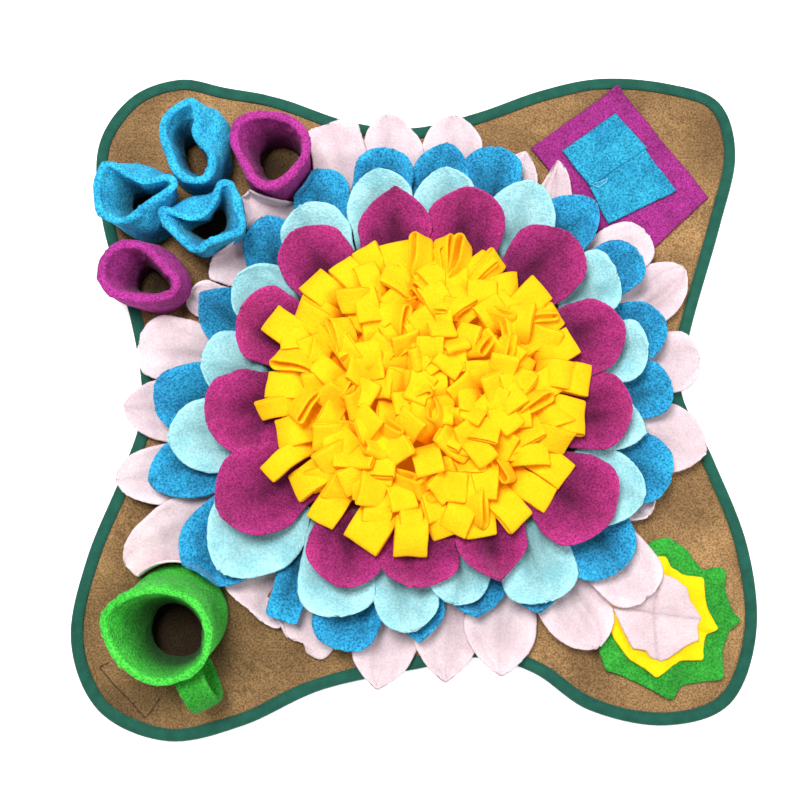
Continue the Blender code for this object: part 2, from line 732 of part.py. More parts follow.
def build_handle():
    """A strap bent into a D whose ends rest on a facet of the mug's wall."""
    mug = CUPS[-1]
    outward = Vector((*polar(HANDLE_BEARING, 1), 0))
    side = Vector((-outward.y, outward.x, 0))
    across = side * (HANDLE_WIDE / 2)
    axis = cup_middle(mug, 1) - cup_middle(mug, 0)
    clear_of_leaning_wall = CLEAR + HANDLE_THICK / 2 * outward.dot(axis) / axis.z
    middle_height = (HANDLE_LOW + HANDLE_HIGH) / 2
    half_height = (HANDLE_HIGH - HANDLE_LOW) / 2
    rings = []
    for step in range(HANDLE_STEPS + 1):
        angle = math.radians(-90 + 180 * step / HANDLE_STEPS)
        climb = (middle_height + half_height * math.sin(angle) - SEWN_ON) / axis.z
        facet = wall_radius(mug, HANDLE_BEARING % 360, climb) * math.cos(math.pi / CUP_STEPS)
        bulge = HANDLE_OUT * max(math.cos(angle), 0.0) ** HANDLE_SQUARENESS
        place = cup_middle(mug, climb) + outward * (facet + clear_of_leaning_wall + bulge)
        heading = Vector((0, 0, 1)) * math.cos(angle) - outward * math.sin(angle)
        through = side.cross(heading).normalized() * (HANDLE_THICK / 2)
        rings.append([place - across - through, place + across - through,
                      place + across + through, place - across + through])
    points, faces = loft(rings)
    return solid("green_mug_handle", points, faces, mug["colour"])


# ---- patch, flaps and stars ----------------------------------------------------------------------
def bent_sheet(name, centre, size, height_at, colour, columns, rows):
    """A sheet with a given height at each share of its length and width."""
    along = Vector((*polar(PATCH_TURN, 1), 0))
    across = Vector((-along.y, along.x, 0))
    grid = []
    for row in range(rows + 1):
        line = []
        for column in range(columns + 1):
            u = -1 + 2 * column / columns
            v = -1 + 2 * row / rows
            place = Vector((*centre, 0)) + along * (u * size[0] / 2) + across * (v * size[1] / 2)
            place.z = height_at(u, v)
            line.append(place)
        grid.append(line)
    return grid_solid(name, grid, colour)


def grid_solid(name, grid, colour):
    """Thicken a grid of points on a sheet's underside straight up by the fleece."""
    rows = len(grid)
    columns = len(grid[0])
    points = [tuple(point) for line in grid for point in line]
    points += [(x, y, z + FLEECE) for x, y, z in points]
    top = rows * columns

    def index(row, column):
        return row * columns + column

    faces = []
    for row in range(rows - 1):
        for column in range(columns - 1):
            quad = (index(row, column), index(row, column + 1),
                    index(row + 1, column + 1), index(row + 1, column))
            faces.append(quad)
            faces.append(tuple(top + corner for corner in quad))
    edge = [index(0, column) for column in range(columns)]
    edge += [index(row, columns - 1) for row in range(1, rows)]
    edge += [index(rows - 1, column) for column in range(columns - 2, -1, -1)]
    edge += [index(row, 0) for row in range(rows - 2, 0, -1)]
    for step, corner in enumerate(edge):
        after = edge[(step + 1) % len(edge)]
        faces.append((corner, after, top + after, top + corner))
    return solid(name, points, faces, colour)


def build_patch():
    return bent_sheet(
        "purple_patch", (PATCH["x"], PATCH["y"]), (PATCH["long"], PATCH["short"]),
        lambda u, v: SEWN_ON, COLOURS["purple_patch"], 1, 1)


def build_flap(flap):
    """A flap sewn on three sides, its open side a little raised in the middle."""
    on_patch = SEWN_ON + FLEECE + CLEAR

    def height_at(u, v):
        open_share = (1 + u * flap["open"]) / 2
        return on_patch + flap["lift"] * open_share ** 2 * (1 - v * v)

    return bent_sheet(flap["name"], (flap["x"], flap["y"]), (flap["long"], flap["short"]),
                      height_at, COLOURS["blue_flap"], 3, 4)


def build_star(star, layer):
    """A flat eight-pointed layer whose points rise a little."""
    base = SEWN_ON + layer * (FLEECE + STAR_GAP)
    tips = 2 * STAR_POINTS
    rings = []
    for share in (STAR_FLAT, 1.0):
        ring = []
        for step in range(tips):
            is_tip = step % 2 == 0
            radius = (star["radius"] if is_tip else star["notch"]) * share
            x, y = polar(star["turn"] + 360 * step / tips, radius)
            rise = star["rise"] if is_tip and share == 1.0 else 0.0
            ring.append((x + STAR_X, y + STAR_Y, base + rise))
        rings.append(ring)
    under, under_faces = loft(rings, closed_ends=False)
    hub = len(under)
    under.append((STAR_X, STAR_Y, base))
    for step in range(tips):
        under_faces.append((step, (step + 1) % tips, hub))
    points = under + [(x, y, z + FLEECE) for x, y, z in under]
    top = len(under)
    faces = under_faces + [tuple(top + corner for corner in face) for face in under_faces]
    for step in range(tips):
        corner = tips + step
        after = tips + (step + 1) % tips
        faces.append((corner, after, top + after, top + corner))
    return solid(star["name"], points, faces, star["colour"])


def centre_on_origin():
    """Move everything so that the middle of the whole, seen from above, is at x = y = 0."""
    corners = [vertex.co for thing in bpy.data.objects for vertex in thing.data.vertices]
    middle_x = (min(c.x for c in corners) + max(c.x for c in corners)) / 2
    middle_y = (min(c.y for c in corners) + max(c.y for c in corners)) / 2
    for thing in bpy.data.objects:
        thing.location = (-middle_x, -middle_y, 0)


def build():
    clear_scene()
    build_mat()
    build_tape()
    for ring in RINGS:
        build_petal_ring(ring)
    build_loops()
    for cup in CUPS:
        build_cup(cup)
    build_handle()
    build_patch()
    for flap in FLAPS:
        build_flap(flap)
    for layer, star in enumerate(STARS):
        build_star(star, layer)
    centre_on_origin()


build()
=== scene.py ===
"""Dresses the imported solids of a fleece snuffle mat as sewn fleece, tape and folded strips.

Sizes are in millimetres and bearings in degrees, counter-clockwise from +X, in the same design
coordinates as the solids' source. Meshes are made in metres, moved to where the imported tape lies.
"""

import math
import random
from typing import NamedTuple

import bmesh
import bpy
import numpy as np
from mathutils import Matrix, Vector, noise


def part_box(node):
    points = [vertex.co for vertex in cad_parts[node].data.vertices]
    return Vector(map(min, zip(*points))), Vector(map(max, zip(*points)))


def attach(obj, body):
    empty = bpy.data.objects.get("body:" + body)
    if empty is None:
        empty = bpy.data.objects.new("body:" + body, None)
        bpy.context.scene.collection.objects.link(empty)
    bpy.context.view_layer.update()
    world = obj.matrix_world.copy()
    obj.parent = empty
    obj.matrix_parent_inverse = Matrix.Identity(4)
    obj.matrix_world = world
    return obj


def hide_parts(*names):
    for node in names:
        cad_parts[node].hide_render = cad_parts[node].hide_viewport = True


METRES = 0.001
CLEAR = 0.3
UP = np.array((0.0, 0.0, 1.0))
# Points are multiplied by this to leave out their height.
LEVEL = (1, 1, 0)

# ---- the mat and its taped edge ------------------------------------------------------------------
MAT_TOP = 4.0
SEWN_ON = MAT_TOP + CLEAR
TAPE_THICK = 1.3
TAPE_FACE = 11.0
TAPE_TOP = MAT_TOP + CLEAR + TAPE_THICK
# Along its sewn side the tape puckers, drifts in and out and, past its joint, lies over its own end.
TAPE_PUCKER = 0.6
TAPE_DRIFT = 0.6
TAPE_OVERLAP = 0.9
TAPE_JOINT = (-135, 279)
# The base's underside steps up over the tape: its gap to the tape and the run of the step.
STEP_GAP = 1.0
STEP_SLOPE = 0.5
EDGE = (
    (241, 0), (253, 58), (283, 152),
    (301, 222), (288, 274), (240, 293), (177, 298), (120, 286),
    (60, 264), (0, 249), (-60, 255),
    (-125, 278), (-178, 289), (-222, 297), (-268, 278), (-296, 228), (-288, 153),
    (-258, 60), (-246, -15), (-260, -72),
    (-289, -150), (-300, -222), (-273, -281), (-213, -306), (-148, -293),
    (-80, -263), (5, -245), (55, -236),
    (103, -249), (150, -280), (215, -293), (272, -275), (298, -215), (294, -140), (267, -62),
)
EDGE_STEPS = 10
STITCH_LONG = 2.8
STITCH_PITCH = 4.2
STITCH_R = 0.32
STITCH_ROUND = 6
STITCHES_IN = 1.6
# Along a stitch: share of its length and share of its thickness.
STITCH_PROFILE = ((0.0, 0.15), (0.15, 0.8), (0.5, 1.0), (0.85, 0.8), (1.0, 0.15))
# Rings of the base start at this share of the way out, and the outer ones dip under the tape.
CENTRE_SHARE = 0.004
BASE_RINGS = 70
BASE_DIPS_FROM = 0.90
BASE_DIPS_OVER = 0.06
BASE_DIP = 0.45
# Unevenness of the base: height and length of its lumps, and a seed.
BASE_LUMPS = ((0.75, 34, 0.0), (0.2, 7, 3.0))
BASE_SUNK = 0.6
# A fine line pressed into the base beside the mug, by its corners, x and y.
BASE_CREASE = ((-262, -238), (-274, -244), (-260, -259), (-232, -287), (-219, -268))
CREASE_STEP = 1.5
# Round the line's section: distance from its middle, height above the base and share of the base's
# brightness, which paints shade into the line. The last two points lie inside the base and close the
# section.
CREASE_PROFILE = ((-3.0, -0.5, 1.0), (-2.0, 0.55, 1.05), (-1.1, 0.7, 1.0), (-0.5, 0.5, 0.5),
                  (0.0, 0.4, 0.15), (0.5, 0.5, 0.5), (1.1, 0.7, 1.0), (2.0, 0.55, 1.05), (3.0, -0.5, 1.0),
                  (1.5, -1.2, 1.0), (-1.5, -1.2, 1.0))
# Soft folds of the base: their two ends, how wide and how high.
BASE_FOLDS = (
    ((-262, 262), (-205, 272), 16, 1.4),
    ((120, 245), (235, 262), 14, -1.3),
    ((230, 95), (272, 165), 13, 1.4),
    ((262, -95), (258, -135), 12, -1.4),
    ((110, -246), (160, -262), 12, 1.3),
    ((-160, -262), (-95, -240), 12, -0.9),
    ((-262, -130), (-248, -80), 12, 0.8),
    ((-262, 40), (-240, 95), 12, -0.8),
)
# The base's nap: its mean, how much and over what length it varies, and the least it falls to.
BASE_NAP = 0.84
BASE_NAP_VARIES = 0.42
BASE_NAP_LONG = 62
BASE_NAP_LEAST = 0.45
# The base is painted darker round this place beside the mug: painted shade.
BASE_PAINTED_SHADE = (-190, -210)
BASE_PAINTED_SHADE_REACH = 130
BASE_PAINTED_SHADE_BY = 0.30
# The floor of each cup is painted darker: painted shade.
CUP_FLOOR_PAINTED_SHADE = 0.70

# ---- the flower ----------------------------------------------------------------------------------
FLOWER = np.array((8.0, -5.0, 0.0))
FLEECE = 2.2
# Cut edges of cloth are rounded: both faces end this share of the thickness short of the edge, and
# the rim between them stands out past it by this share of that.
CUT_SOFT = 0.35
CUT_PROUD = 0.4
SLOT_GAP_DEG = 0.9
PETAL_COLUMNS = 21
ROOT_ROWS = 5
BLADE_ROWS = 30
# How a petal's tip is rounded off: the cap starts at this share of its length, and its half width
# is (1 - u ** swell) ** (1 / blunt) over the cap.
ROUND = {"from": 0.42, "swell": 2.3, "blunt": 1.62}
POINTED = {"from": 0.38, "swell": 1.9, "blunt": 1.2}
BLOCKY = {"from": 0.50, "swell": 3.4, "blunt": 2.1}
SQUARE = {"from": 0.60, "swell": 7.0, "blunt": 4.0}
STRIP = {"from": 0.22, "swell": 12.0, "blunt": 6.0}


class Petal(NamedTuple):
    """How one petal lies: tip's bearing and reach, width, outline, roll (clockwise side up, in
    degrees), lift, rise of the tip, cup (edges up), pinch (a valley from the root), bow (tip bent
    sideways, counter-clockwise), curl (the very tip turned up) and hem (waves along its tip)."""

    bearing: float
    reach: float
    width: float
    form: dict = ROUND
    roll: float = 4
    lift: float = 0
    rise: float = 8
    cup: float = 6
    pinch: float = 5
    bow: float = 0
    curl: float = 0
    hem: float = 0


# Petals are sewn down from inner to outer, first_root is the bearing of the first one's root, the
# levels are heights at root and tip, and stand multiplies the rise of each tip.
RINGS = (
    {
        "node": "petals_pink", "cloth": "pink_fleece", "stand": 0.55, "inner": 170, "outer": 184,
        "level": 10.0, "tip_level": 9.0, "first_root": 6,
        "petals": (
            Petal(8, 248, 56, BLOCKY), Petal(25, 264, 56, ROUND, rise=6, cup=5, pinch=8, bow=4),
            Petal(36, 251, 52, BLOCKY, roll=3, rise=8, cup=2, curl=3),
            Petal(60, 249, 34, POINTED, roll=2, lift=3, rise=3), Petal(67, 243, 46, POINTED),
            Petal(84, 261, 58), Petal(97.5, 262, 58), Petal(110, 266, 56, SQUARE, bow=-3),
            Petal(133, 241, 46, BLOCKY, roll=2, rise=30, cup=1, pinch=2, hem=2),
            Petal(146.5, 229, 46, SQUARE, roll=2, rise=16, cup=1, pinch=2),
            Petal(156.5, 231, 34, BLOCKY, roll=2, rise=10, cup=1, hem=2),
            Petal(170, 258, 60, BLOCKY, roll=4), Petal(182.5, 266, 56), Petal(196, 281, 54),
            Petal(210, 300, 78, ROUND, roll=4, lift=1, pinch=3),
            Petal(231, 243, 64, SQUARE, roll=2, lift=-3, rise=0, cup=0, curl=11),
            Petal(242, 242, 66, SQUARE, roll=2, lift=0, rise=2, cup=0, pinch=2, hem=3),
            Petal(261, 259, 62, POINTED, roll=6), Petal(274, 250, 58, POINTED, roll=6),
            Petal(285, 253, 64, POINTED, roll=6),
            Petal(304, 266, 62, ROUND, lift=3, rise=10, cup=5, pinch=9),
            Petal(317, 262, 60, BLOCKY, roll=3, lift=3, rise=5, pinch=6), Petal(331, 224, 42),
            Petal(348, 254, 66, ROUND, pinch=4),
        ),
    },
    {
        "node": "petals_blue", "cloth": "blue_fleece", "stand": 1.0, "inner": 150, "outer": 165,
        "level": 18.5, "tip_level": 17.5, "first_root": -2,
        "petals": (
            Petal(1.5, 217, 50, BLOCKY, pinch=5), Petal(16, 223, 58), Petal(33, 229, 50, BLOCKY),
            Petal(48, 233, 54), Petal(74, 233, 56, BLOCKY), Petal(84, 229, 52),
            Petal(98, 224, 54, BLOCKY, roll=5), Petal(114, 224, 52, BLOCKY, roll=5, lift=1, rise=3),
            Petal(132, 216, 54, ROUND, rise=4, cup=3), Petal(156, 217, 56, POINTED),
            Petal(183, 236, 58, BLOCKY), Petal(199, 251, 58),
            Petal(220, 255, 78, ROUND, roll=3, cup=9),
            Petal(238.2, 233, 31, STRIP, roll=6, lift=1, rise=5, cup=1.5, pinch=0),
            Petal(252, 233, 58, BLOCKY), Petal(269, 215, 48, POINTED), Petal(283, 199, 48, POINTED),
            Petal(297, 214, 56, POINTED), Petal(317, 228, 66, BLOCKY), Petal(341, 227, 60, BLOCKY),
        ),
    },
    {
        "node": "petals_aqua", "cloth": "aqua_fleece", "stand": 1.1, "inner": 131, "outer": 146,
        "level": 26.5, "tip_level": 25.5, "first_root": 14,
        "petals": (
            Petal(10, 198, 56, BLOCKY), Petal(31, 199, 60, BLOCKY), Petal(62, 212, 64),
            Petal(85, 202, 60), Petal(102, 204, 60, ROUND, pinch=2), Petal(123, 199, 62),
            Petal(149, 193, 60), Petal(173, 196, 62), Petal(191, 225, 68),
            Petal(222, 233, 84, ROUND, roll=3), Petal(249, 207, 66, BLOCKY), Petal(267, 206, 58),
            Petal(277, 184, 54), Petal(300, 209, 66, BLOCKY, pinch=10), Petal(333, 210, 66),
            Petal(349, 196, 50, POINTED, cup=0, pinch=-3),
        ),
    },
    {
        "node": "petals_purple", "cloth": "purple_fleece", "stand": 1.1, "inner": 113, "outer": 127,
        "level": 34.5, "tip_level": 33.5, "first_root": 19,
        "petals": (
            Petal(17, 182, 68, ROUND, cup=9), Petal(46, 187, 72, ROUND, cup=9),
            Petal(77, 182, 68, ROUND, cup=9, pinch=4), Petal(98, 181, 66, POINTED, cup=9, pinch=5),
            Petal(128, 179, 66, ROUND, cup=9, bow=5), Petal(158, 173, 68, ROUND, cup=9),
            Petal(190, 188, 80, ROUND, cup=9), Petal(211, 203, 78, ROUND, lift=2, cup=9),
            Petal(248, 182, 70, ROUND, cup=9), Petal(267, 169, 70, ROUND, cup=9),
            Petal(290, 174, 60, POINTED, cup=9, pinch=6, bow=3), Petal(324, 193, 84, ROUND, cup=9),
            Petal(355, 178, 70, ROUND, cup=9),
        ),
    },
)
# Relief of every petal: a slow swell shared by a ring, dents of its own, a wave along its edge.
SWELL_HIGH = 2.4
SWELL_LONG = 38
DENT_HIGH = 1.3
DENT_LONG = 15
WAVE_HIGH = 2.2
# A petal's cut: how uneven its width is (a share), how ragged its edge is, and how far the waves of
# its hem dip, as a share of how far they reach out.
EDGE_UNEVEN = 0.09
EDGE_RAGGED = 0.6
HEM_DIPS = 0.9
# Widths of a petal's two folds, as shares of its half width, and the depth of the second.
FOLD_WIDE = 0.20
SECOND_FOLD_WIDE = 0.15
SECOND_FOLD = 0.55
# Share of a petal's painted brightness that its covered root and its folds lose: painted shade under the
# ring above and in its folds.
ROOT_PAINTED_SHADE = 0.32
# How far petals stay off a cup's foot, and how much more at its lip.
CUP_BERTH = 3.5
CUP_BERTH_GROWS = 3.0

# ---- yellow strips -------------------------------------------------------------------------------
STRIP_THICK = 1.8
BACKING_R = 112.5
BACKING_THICK = 2.2
BACKING_ROUND = 72
BACKING_PROFILE = ((0.02, 1.0), (0.5, 1.0), (0.97, 1.0), (1.0, 0.6), (1.0, 0.0), (0.02, 0.0))
# How high fold ends lie: pairs of distance from the flower's middle and height.
DOME = ((0, 57), (45, 57), (70, 55), (95, 50), (118, 45), (140, 41), (165, 40))
# Rows of fold ends: their distance from the middle, how many, how far they may turn from outward,
# how they slope (down at the end), the length laid over and how far below the dome they lie.
STRIP_ROWS = (
    (8, 4, 180, -34, 22, 0), (27, 9, 180, -34, 22, 0), (47, 15, 180, -28, 23, 0),
    (68, 20, 120, -20, 25, 0), (88, 24, 75, -8, 27, 0), (107, 26, 50, 4, 30, 0),
    (124, 22, 38, 14, 32, 1), (18, 6, 180, -4, 20, 8), (38, 11, 180, -4, 20, 8),
    (58, 15, 180, 0, 22, 8), (79, 17, 120, 2, 24, 8), (99, 20, 80, 8, 26, 8),
)
# How far a strip may be off its row's distance and height, and how many lie on edge, as a share.
ROW_SCATTER = 7
ROW_UNEVEN = 6
EDGE_ON = 0.16
STRIP_SLOPE_SPREAD = 28


class RimStrip(NamedTuple):
    """A strip at the rim: its fold end's bearing and distance from the flower's middle, the turn
    of its end from outward, width, roll about its own length, and how wide its loop stands open."""

    bearing: float
    reach: float
    turn: float = 0
    width: float = 25
    roll: float = 0
    open: float = 1.6


RIM_STRIPS = (
    RimStrip(101, 137, 0, 31, 0, 2.0), RimStrip(91, 137, 4, 22, 62, 4.5),
    RimStrip(82.5, 137, -4, 22, -60, 4.0), RimStrip(75, 137, 2, 22, 55, 4.5),
    RimStrip(61, 135, -6, 23, 38, 3.0), RimStrip(41, 140, -4, 27), RimStrip(30, 136, 10, 24, 20, 3.0),
    RimStrip(18, 138, 6, 26, -12), RimStrip(3, 141, -6, 28, 10, 3.2),
    RimStrip(349, 144, 4, 32, -8, 3.0), RimStrip(339, 134, 16, 24, 24),
    RimStrip(328, 142, -8, 27), RimStrip(318, 147, 8, 24, -14), RimStrip(305, 146, 4, 26, 0, 3.0),
    RimStrip(291, 138, -6, 27), RimStrip(278, 128, 12, 24, 20), RimStrip(265, 143, 4, 28, 0, 2.6),
    RimStrip(248, 145, -4, 33, 0, 2.6), RimStrip(232, 150, 6, 26), RimStrip(218, 146, -8, 26, 10),
    RimStrip(209, 156, 12, 18, 16), RimStrip(198, 136, -6, 26), RimStrip(188, 148, 10, 18, -20),
    RimStrip(179, 134, -8, 25, 12), RimStrip(168, 132, 4, 24, 36, 4.5), RimStrip(155, 148, -10, 27),
    RimStrip(146, 134, 14, 24), RimStrip(136, 142, -2, 27, -8), RimStrip(124, 137, 8, 25, 14),
    RimStrip(113, 135, -4, 24, -10),
)
STRIP_SEED = 21
STRIP_ALONG = 15
STRIP_ACROSS = 8
FOLD_STEPS = 7
ROOTS_IN = 9
# Painted shade along the strips' cut edges, where they meet in the gaps.
STRIP_EDGE_PAINTED_SHADE = 0.35

# ---- cups and mug --------------------------------------------------------------------------------
CUP_ROUND = 120
CUP_WALL_ROWS = 21
CUP_LIP_ROWS = 7
CUP_INNER_ROWS = 18
# Relief of the cups: how far the lip sags, lumps, small dents, fine folds and sharp pleats.
CUP_SAG = 1.8
CUP_LUMP = 1.0
CUP_DENT = 0.35
CUP_FOLD = 1.0
CUP_PLEAT = 1.3
CURVE_STEPS = 12
# Share of the wall's height at which it stands out furthest.
BELLY_AT = 0.5
# The lip is an arc between these angles from level, where the outer and inner walls go on from it.
LIP_START = math.radians(25)
LIP_ARC = math.radians(135)
# Lines as seen from above, x and y, counter-clockwise: the rim is the middle line of the lip, the
# belly the wall where it stands out furthest, and the hollow the edge of the dark hole at hollow_z.
CUPS = (
    {
        "name": "blue_cup_1", "cloth": "bright_blue_fleece", "foot": (-197, 210), "foot_r": 28,
        "height": 62, "wall": 4.5, "lip": 8.5, "hollow_z": 26,
        "belly": ((-169, 205), (-168, 220), (-168, 236), (-176, 249), (-190, 253), (-205, 249),
                  (-217, 240), (-225, 222), (-223, 207), (-216, 194), (-207, 185), (-197, 181),
                  (-183, 182), (-174, 190)),
        "rim": ((-199, 248), (-211, 242), (-219, 231), (-221, 219), (-216, 205), (-212, 193),
                (-205, 182), (-195, 177), (-184, 178), (-178, 188), (-178, 198), (-183, 206),
                (-190, 213), (-193, 221), (-191, 232), (-193, 243)),
        "hollow": ((-209, 214), (-203, 198), (-192, 192), (-189, 204), (-194, 220), (-203, 232),
                   (-209, 228)),
    },
    {
        "name": "blue_cup_2", "cloth": "bright_blue_fleece", "foot": (-242, 161), "foot_r": 25,
        "height": 60, "wall": 4.5, "lip": 8.0, "hollow_z": 26,
        "belly": ((-215, 180), (-222, 189), (-233, 197), (-248, 201), (-264, 200), (-277, 194),
                  (-283, 183), (-282, 170), (-280, 157), (-272, 147), (-258, 139), (-244, 136),
                  (-232, 138), (-224, 150), (-219, 163), (-215, 173)),
        "rim": ((-273, 189), (-277, 174), (-277, 160), (-274, 149), (-265, 143), (-254, 140),
                (-245, 144), (-237, 152), (-226, 160), (-216, 167), (-211, 174), (-216, 179),
                (-227, 177), (-239, 176), (-250, 182), (-260, 188), (-267, 191)),
        "hollow": ((-254, 163), (-250, 154), (-240, 157), (-230, 167), (-236, 174), (-246, 177),
                   (-254, 175)),
    },
    {
        "name": "blue_cup_3", "cloth": "bright_blue_fleece", "foot": (-190, 150), "foot_r": 25,
        "height": 58, "wall": 4.5, "lip": 8.0, "hollow_z": 26,
        "belly": ((-151, 144), (-153, 158), (-159, 171), (-171, 177), (-186, 174), (-200, 172),
                  (-213, 165), (-223, 156), (-225, 148), (-219, 138), (-209, 127), (-197, 119),
                  (-187, 116), (-178, 121), (-165, 127), (-154, 133)),
        "rim": ((-221, 150), (-217, 140), (-207, 129), (-197, 119), (-187, 115), (-180, 121),
                (-164, 127), (-153, 131), (-151, 139), (-154, 151), (-157, 163), (-162, 173),
                (-169, 175), (-173, 167), (-176, 157), (-183, 148), (-192, 144), (-202, 145),
                (-212, 149)),
        "hollow": ((-200, 140), (-188, 133), (-176, 136), (-166, 142), (-167, 153), (-171, 164),
                   (-178, 160), (-184, 150), (-196, 146)),
    },
    {
        "name": "purple_cup_1", "cloth": "magenta_fleece", "foot": (-125, 203), "foot_r": 30,
        "height": 58, "wall": 4.5, "lip": 9.5, "hollow_z": 22,
        "rim": ((-131, 238), (-147, 236), (-157, 228), (-159, 215), (-155, 204), (-149, 192),
                (-142, 180), (-131, 173), (-118, 176), (-107, 186), (-98, 198), (-96, 212),
                (-101, 225), (-113, 234)),
        "hollow": ((-141, 214), (-138, 200), (-131, 190), (-118, 193), (-106, 204), (-104, 218),
                   (-112, 227), (-130, 228)),
    },
    {
        "name": "purple_cup_2", "cloth": "magenta_fleece", "foot": (-230, 94), "foot_r": 25,
        "height": 54, "wall": 4.5, "lip": 9.5, "hollow_z": 22,
        "belly": ((-200, 86), (-201, 98), (-207, 109), (-217, 119), (-231, 126), (-248, 127),
                  (-263, 122), (-273, 112), (-276, 98), (-274, 86), (-264, 76), (-248, 70),
                  (-232, 68), (-216, 71), (-205, 77)),
        "rim": ((-269, 85), (-260, 77), (-246, 74), (-228, 73), (-214, 75), (-208, 82),
                (-209, 91), (-216, 98), (-225, 108), (-236, 118), (-248, 121), (-261, 118),
                (-270, 108), (-273, 95)),
        "hollow": ((-253, 103), (-252, 93), (-244, 86), (-230, 84), (-219, 87), (-224, 97),
                   (-234, 106), (-246, 111)),
    },
    {
        "name": "green_mug", "cloth": "green_fleece", "foot": (-207, -199), "foot_r": 44,
        "height": 76, "wall": 5.5, "lip": 7.5, "hollow_z": 26,
        "rim": ((-240, -226), (-222, -242), (-204, -247), (-187, -243), (-174, -234),
                (-168, -221), (-168, -205), (-175, -190), (-189, -180), (-209, -175),
                (-230, -179), (-246, -189), (-251, -202)),
        "hollow": ((-224, -208), (-217, -226), (-202, -233), (-187, -230), (-181, -219),
                   (-184, -202), (-198, -190), (-217, -191)),
    },
)
HANDLE_BEARING = -63
HANDLE_WIDE = 24
HANDLE_THICK = 5.0
HANDLE_LOW = 14
HANDLE_HIGH = 56
HANDLE_OUT = 31
HANDLE_SQUARENESS = 0.8
HANDLE_RIDGES = 4
HANDLE_STEPS = 41
HANDLE_ROUND = 48

# ---- patch, flaps and stars ----------------------------------------------------------------------
# Corners of flat cut pieces, x and y, counter-clockwise from the one nearest the top of the mat.
PATCH = ((192, 289), (110, 228), (197, 110), (273, 180))
PATCH_LIFT_AT_TAPE = 3.2
PATCH_OVER_TAPE = 7
# How wavy and how jagged the edges of cut pieces are, and how uneven they lie.
CUT_WAVY = 0.9
CUT_JAGGED = 0.35
CUT_UNEVEN = 0.25
PATCH_GRID = (64, 52)
FLAP_GRID = (40, 34)
FLAPS = (
    {"name": "blue_flap_1", "corners": ((189, 261), (138, 224), (163, 189), (217, 226)), "open": 0,
     "lift": 1.2},
    {"name": "blue_flap_2", "corners": ((215, 224), (162, 188), (179, 154), (243, 185)), "open": 1,
     "lift": 2.8},
)
LOOSE_THREAD = ((164, 190), (168, 188), (172.5, 188.7), (176.5, 192), (179, 196), (175, 194), (170.5, 192),
                (166.5, 191.5))
LOOSE_THREAD_R = 0.42
LOOSE_THREAD_Z = SEWN_ON + 2 * FLEECE + CLEAR + 3.4
STAR_GAP = 0.6
# Outlines of the star's layers, counter-clockwise; rise is how far their points stand up.
STARS = (
    {
        "name": "star_green", "cloth": "star_green_fleece", "slot": "green_fleece", "rise": 4.6,
        "outline": ((283, -203), (277, -197), (271, -176), (272, -161), (266, -158), (252, -161),
                    (239, -143), (222, -132), (207, -136), (198, -147), (187, -161), (174, -183),
                    (165, -204), (160, -221), (159, -230), (164, -246), (177, -250), (198, -260),
                    (220, -271), (231, -259), (265, -253), (267, -229), (273, -214)),
    },
    {
        "name": "star_yellow", "cloth": "star_yellow_fleece", "slot": "yellow_fleece", "rise": 3.8,
        "outline": ((262, -211), (254, -192), (251, -167), (235, -165), (224, -158), (219, -149),
                    (210, -149), (197, -161), (179, -174), (165, -186), (166, -202), (172, -219),
                    (184, -236), (199, -245), (207, -252), (217, -246), (229, -238), (248, -237),
                    (249, -229), (252, -216)),
    },
    {
        "name": "star_pink", "cloth": "pink_fleece", "slot": "pink_fleece", "rise": 1.5,
        "outline": ((248, -202), (238, -186), (236, -176), (226, -168), (214, -163), (206, -172),
                    (203, -183), (195, -188), (183, -189), (171, -192), (176, -204), (181, -215),
                    (187, -227), (199, -229), (203, -235), (211, -238), (218, -235), (234, -224),
                    (244, -220), (244, -208)),
    },
)
STAR_SEAMS = (((213, -164), (207, -198)), ((207, -198), (208, -238)),
              ((171, -191), (207, -198)), ((207, -198), (248, -203)))
STAR_MIDDLE = (212, -202)
SEAM_DEEP = 1.2
SEAM_WIDE = 1.6
# How far the pink layer's quarters are puffed, and how ragged the layers' edges are.
QUARTER_HIGH = 2.2
STAR_RAGGED = 0.4
STAR_ROUND = 180
STAR_HOLE = 0.03
STAR_RINGS = 30

# ---- looks of the cloths -------------------------------------------------------------------------
NAP_AND_LIGHT_RANGE = 1.5
FLAT_NAP = 0.64
FLEECE_ROUGHNESS = 0.95
SHEEN_ROUGHNESS = 0.45
CLUMP_SIZE = 4.5
CURL_SIZE = 0.85
CURL_SHARE = 0.26
PILE_DEEP = 0.6
# Pits are darker and tufts lighter, the pile's grain; the haze is a painted sheen on the tufts' tips.
PIT_DARK = 0.30
TUFT_LIGHT = 0.26
TUFT_PAINTED_SHEEN = 0.018
# A painted orange glow on the yellow fleeces, standing in for light bounced between the strips.
PAINTED_GLOW_COLOUR = (1.0, 0.38, 0.0)
TWILL_RIB = 3.2
TWILL_PATCHES = 9
# A mix node's sockets for its factor and its two colours.
MIX_SOCKETS = (0, 6, 7)


class Look(NamedTuple):
    """How a fleece looks: its two tones (sRGB), the size of its pile, strength of its relief, how
    speckled it is, its sheen, the size of its patches of tone, its painted glow, how it is painted
    where the nap is low (painted shade) and where it is high (painted highlights), and whether it
    is pebbled, which is to stand in curls."""

    light: tuple
    shade: tuple
    pile: float
    bump: float
    speckle: float
    sheen: float
    patches: float
    painted_glow: float = 0.0
    nap_and_painted_light: tuple = (0.80, 1.12)
    pebbled: bool = False


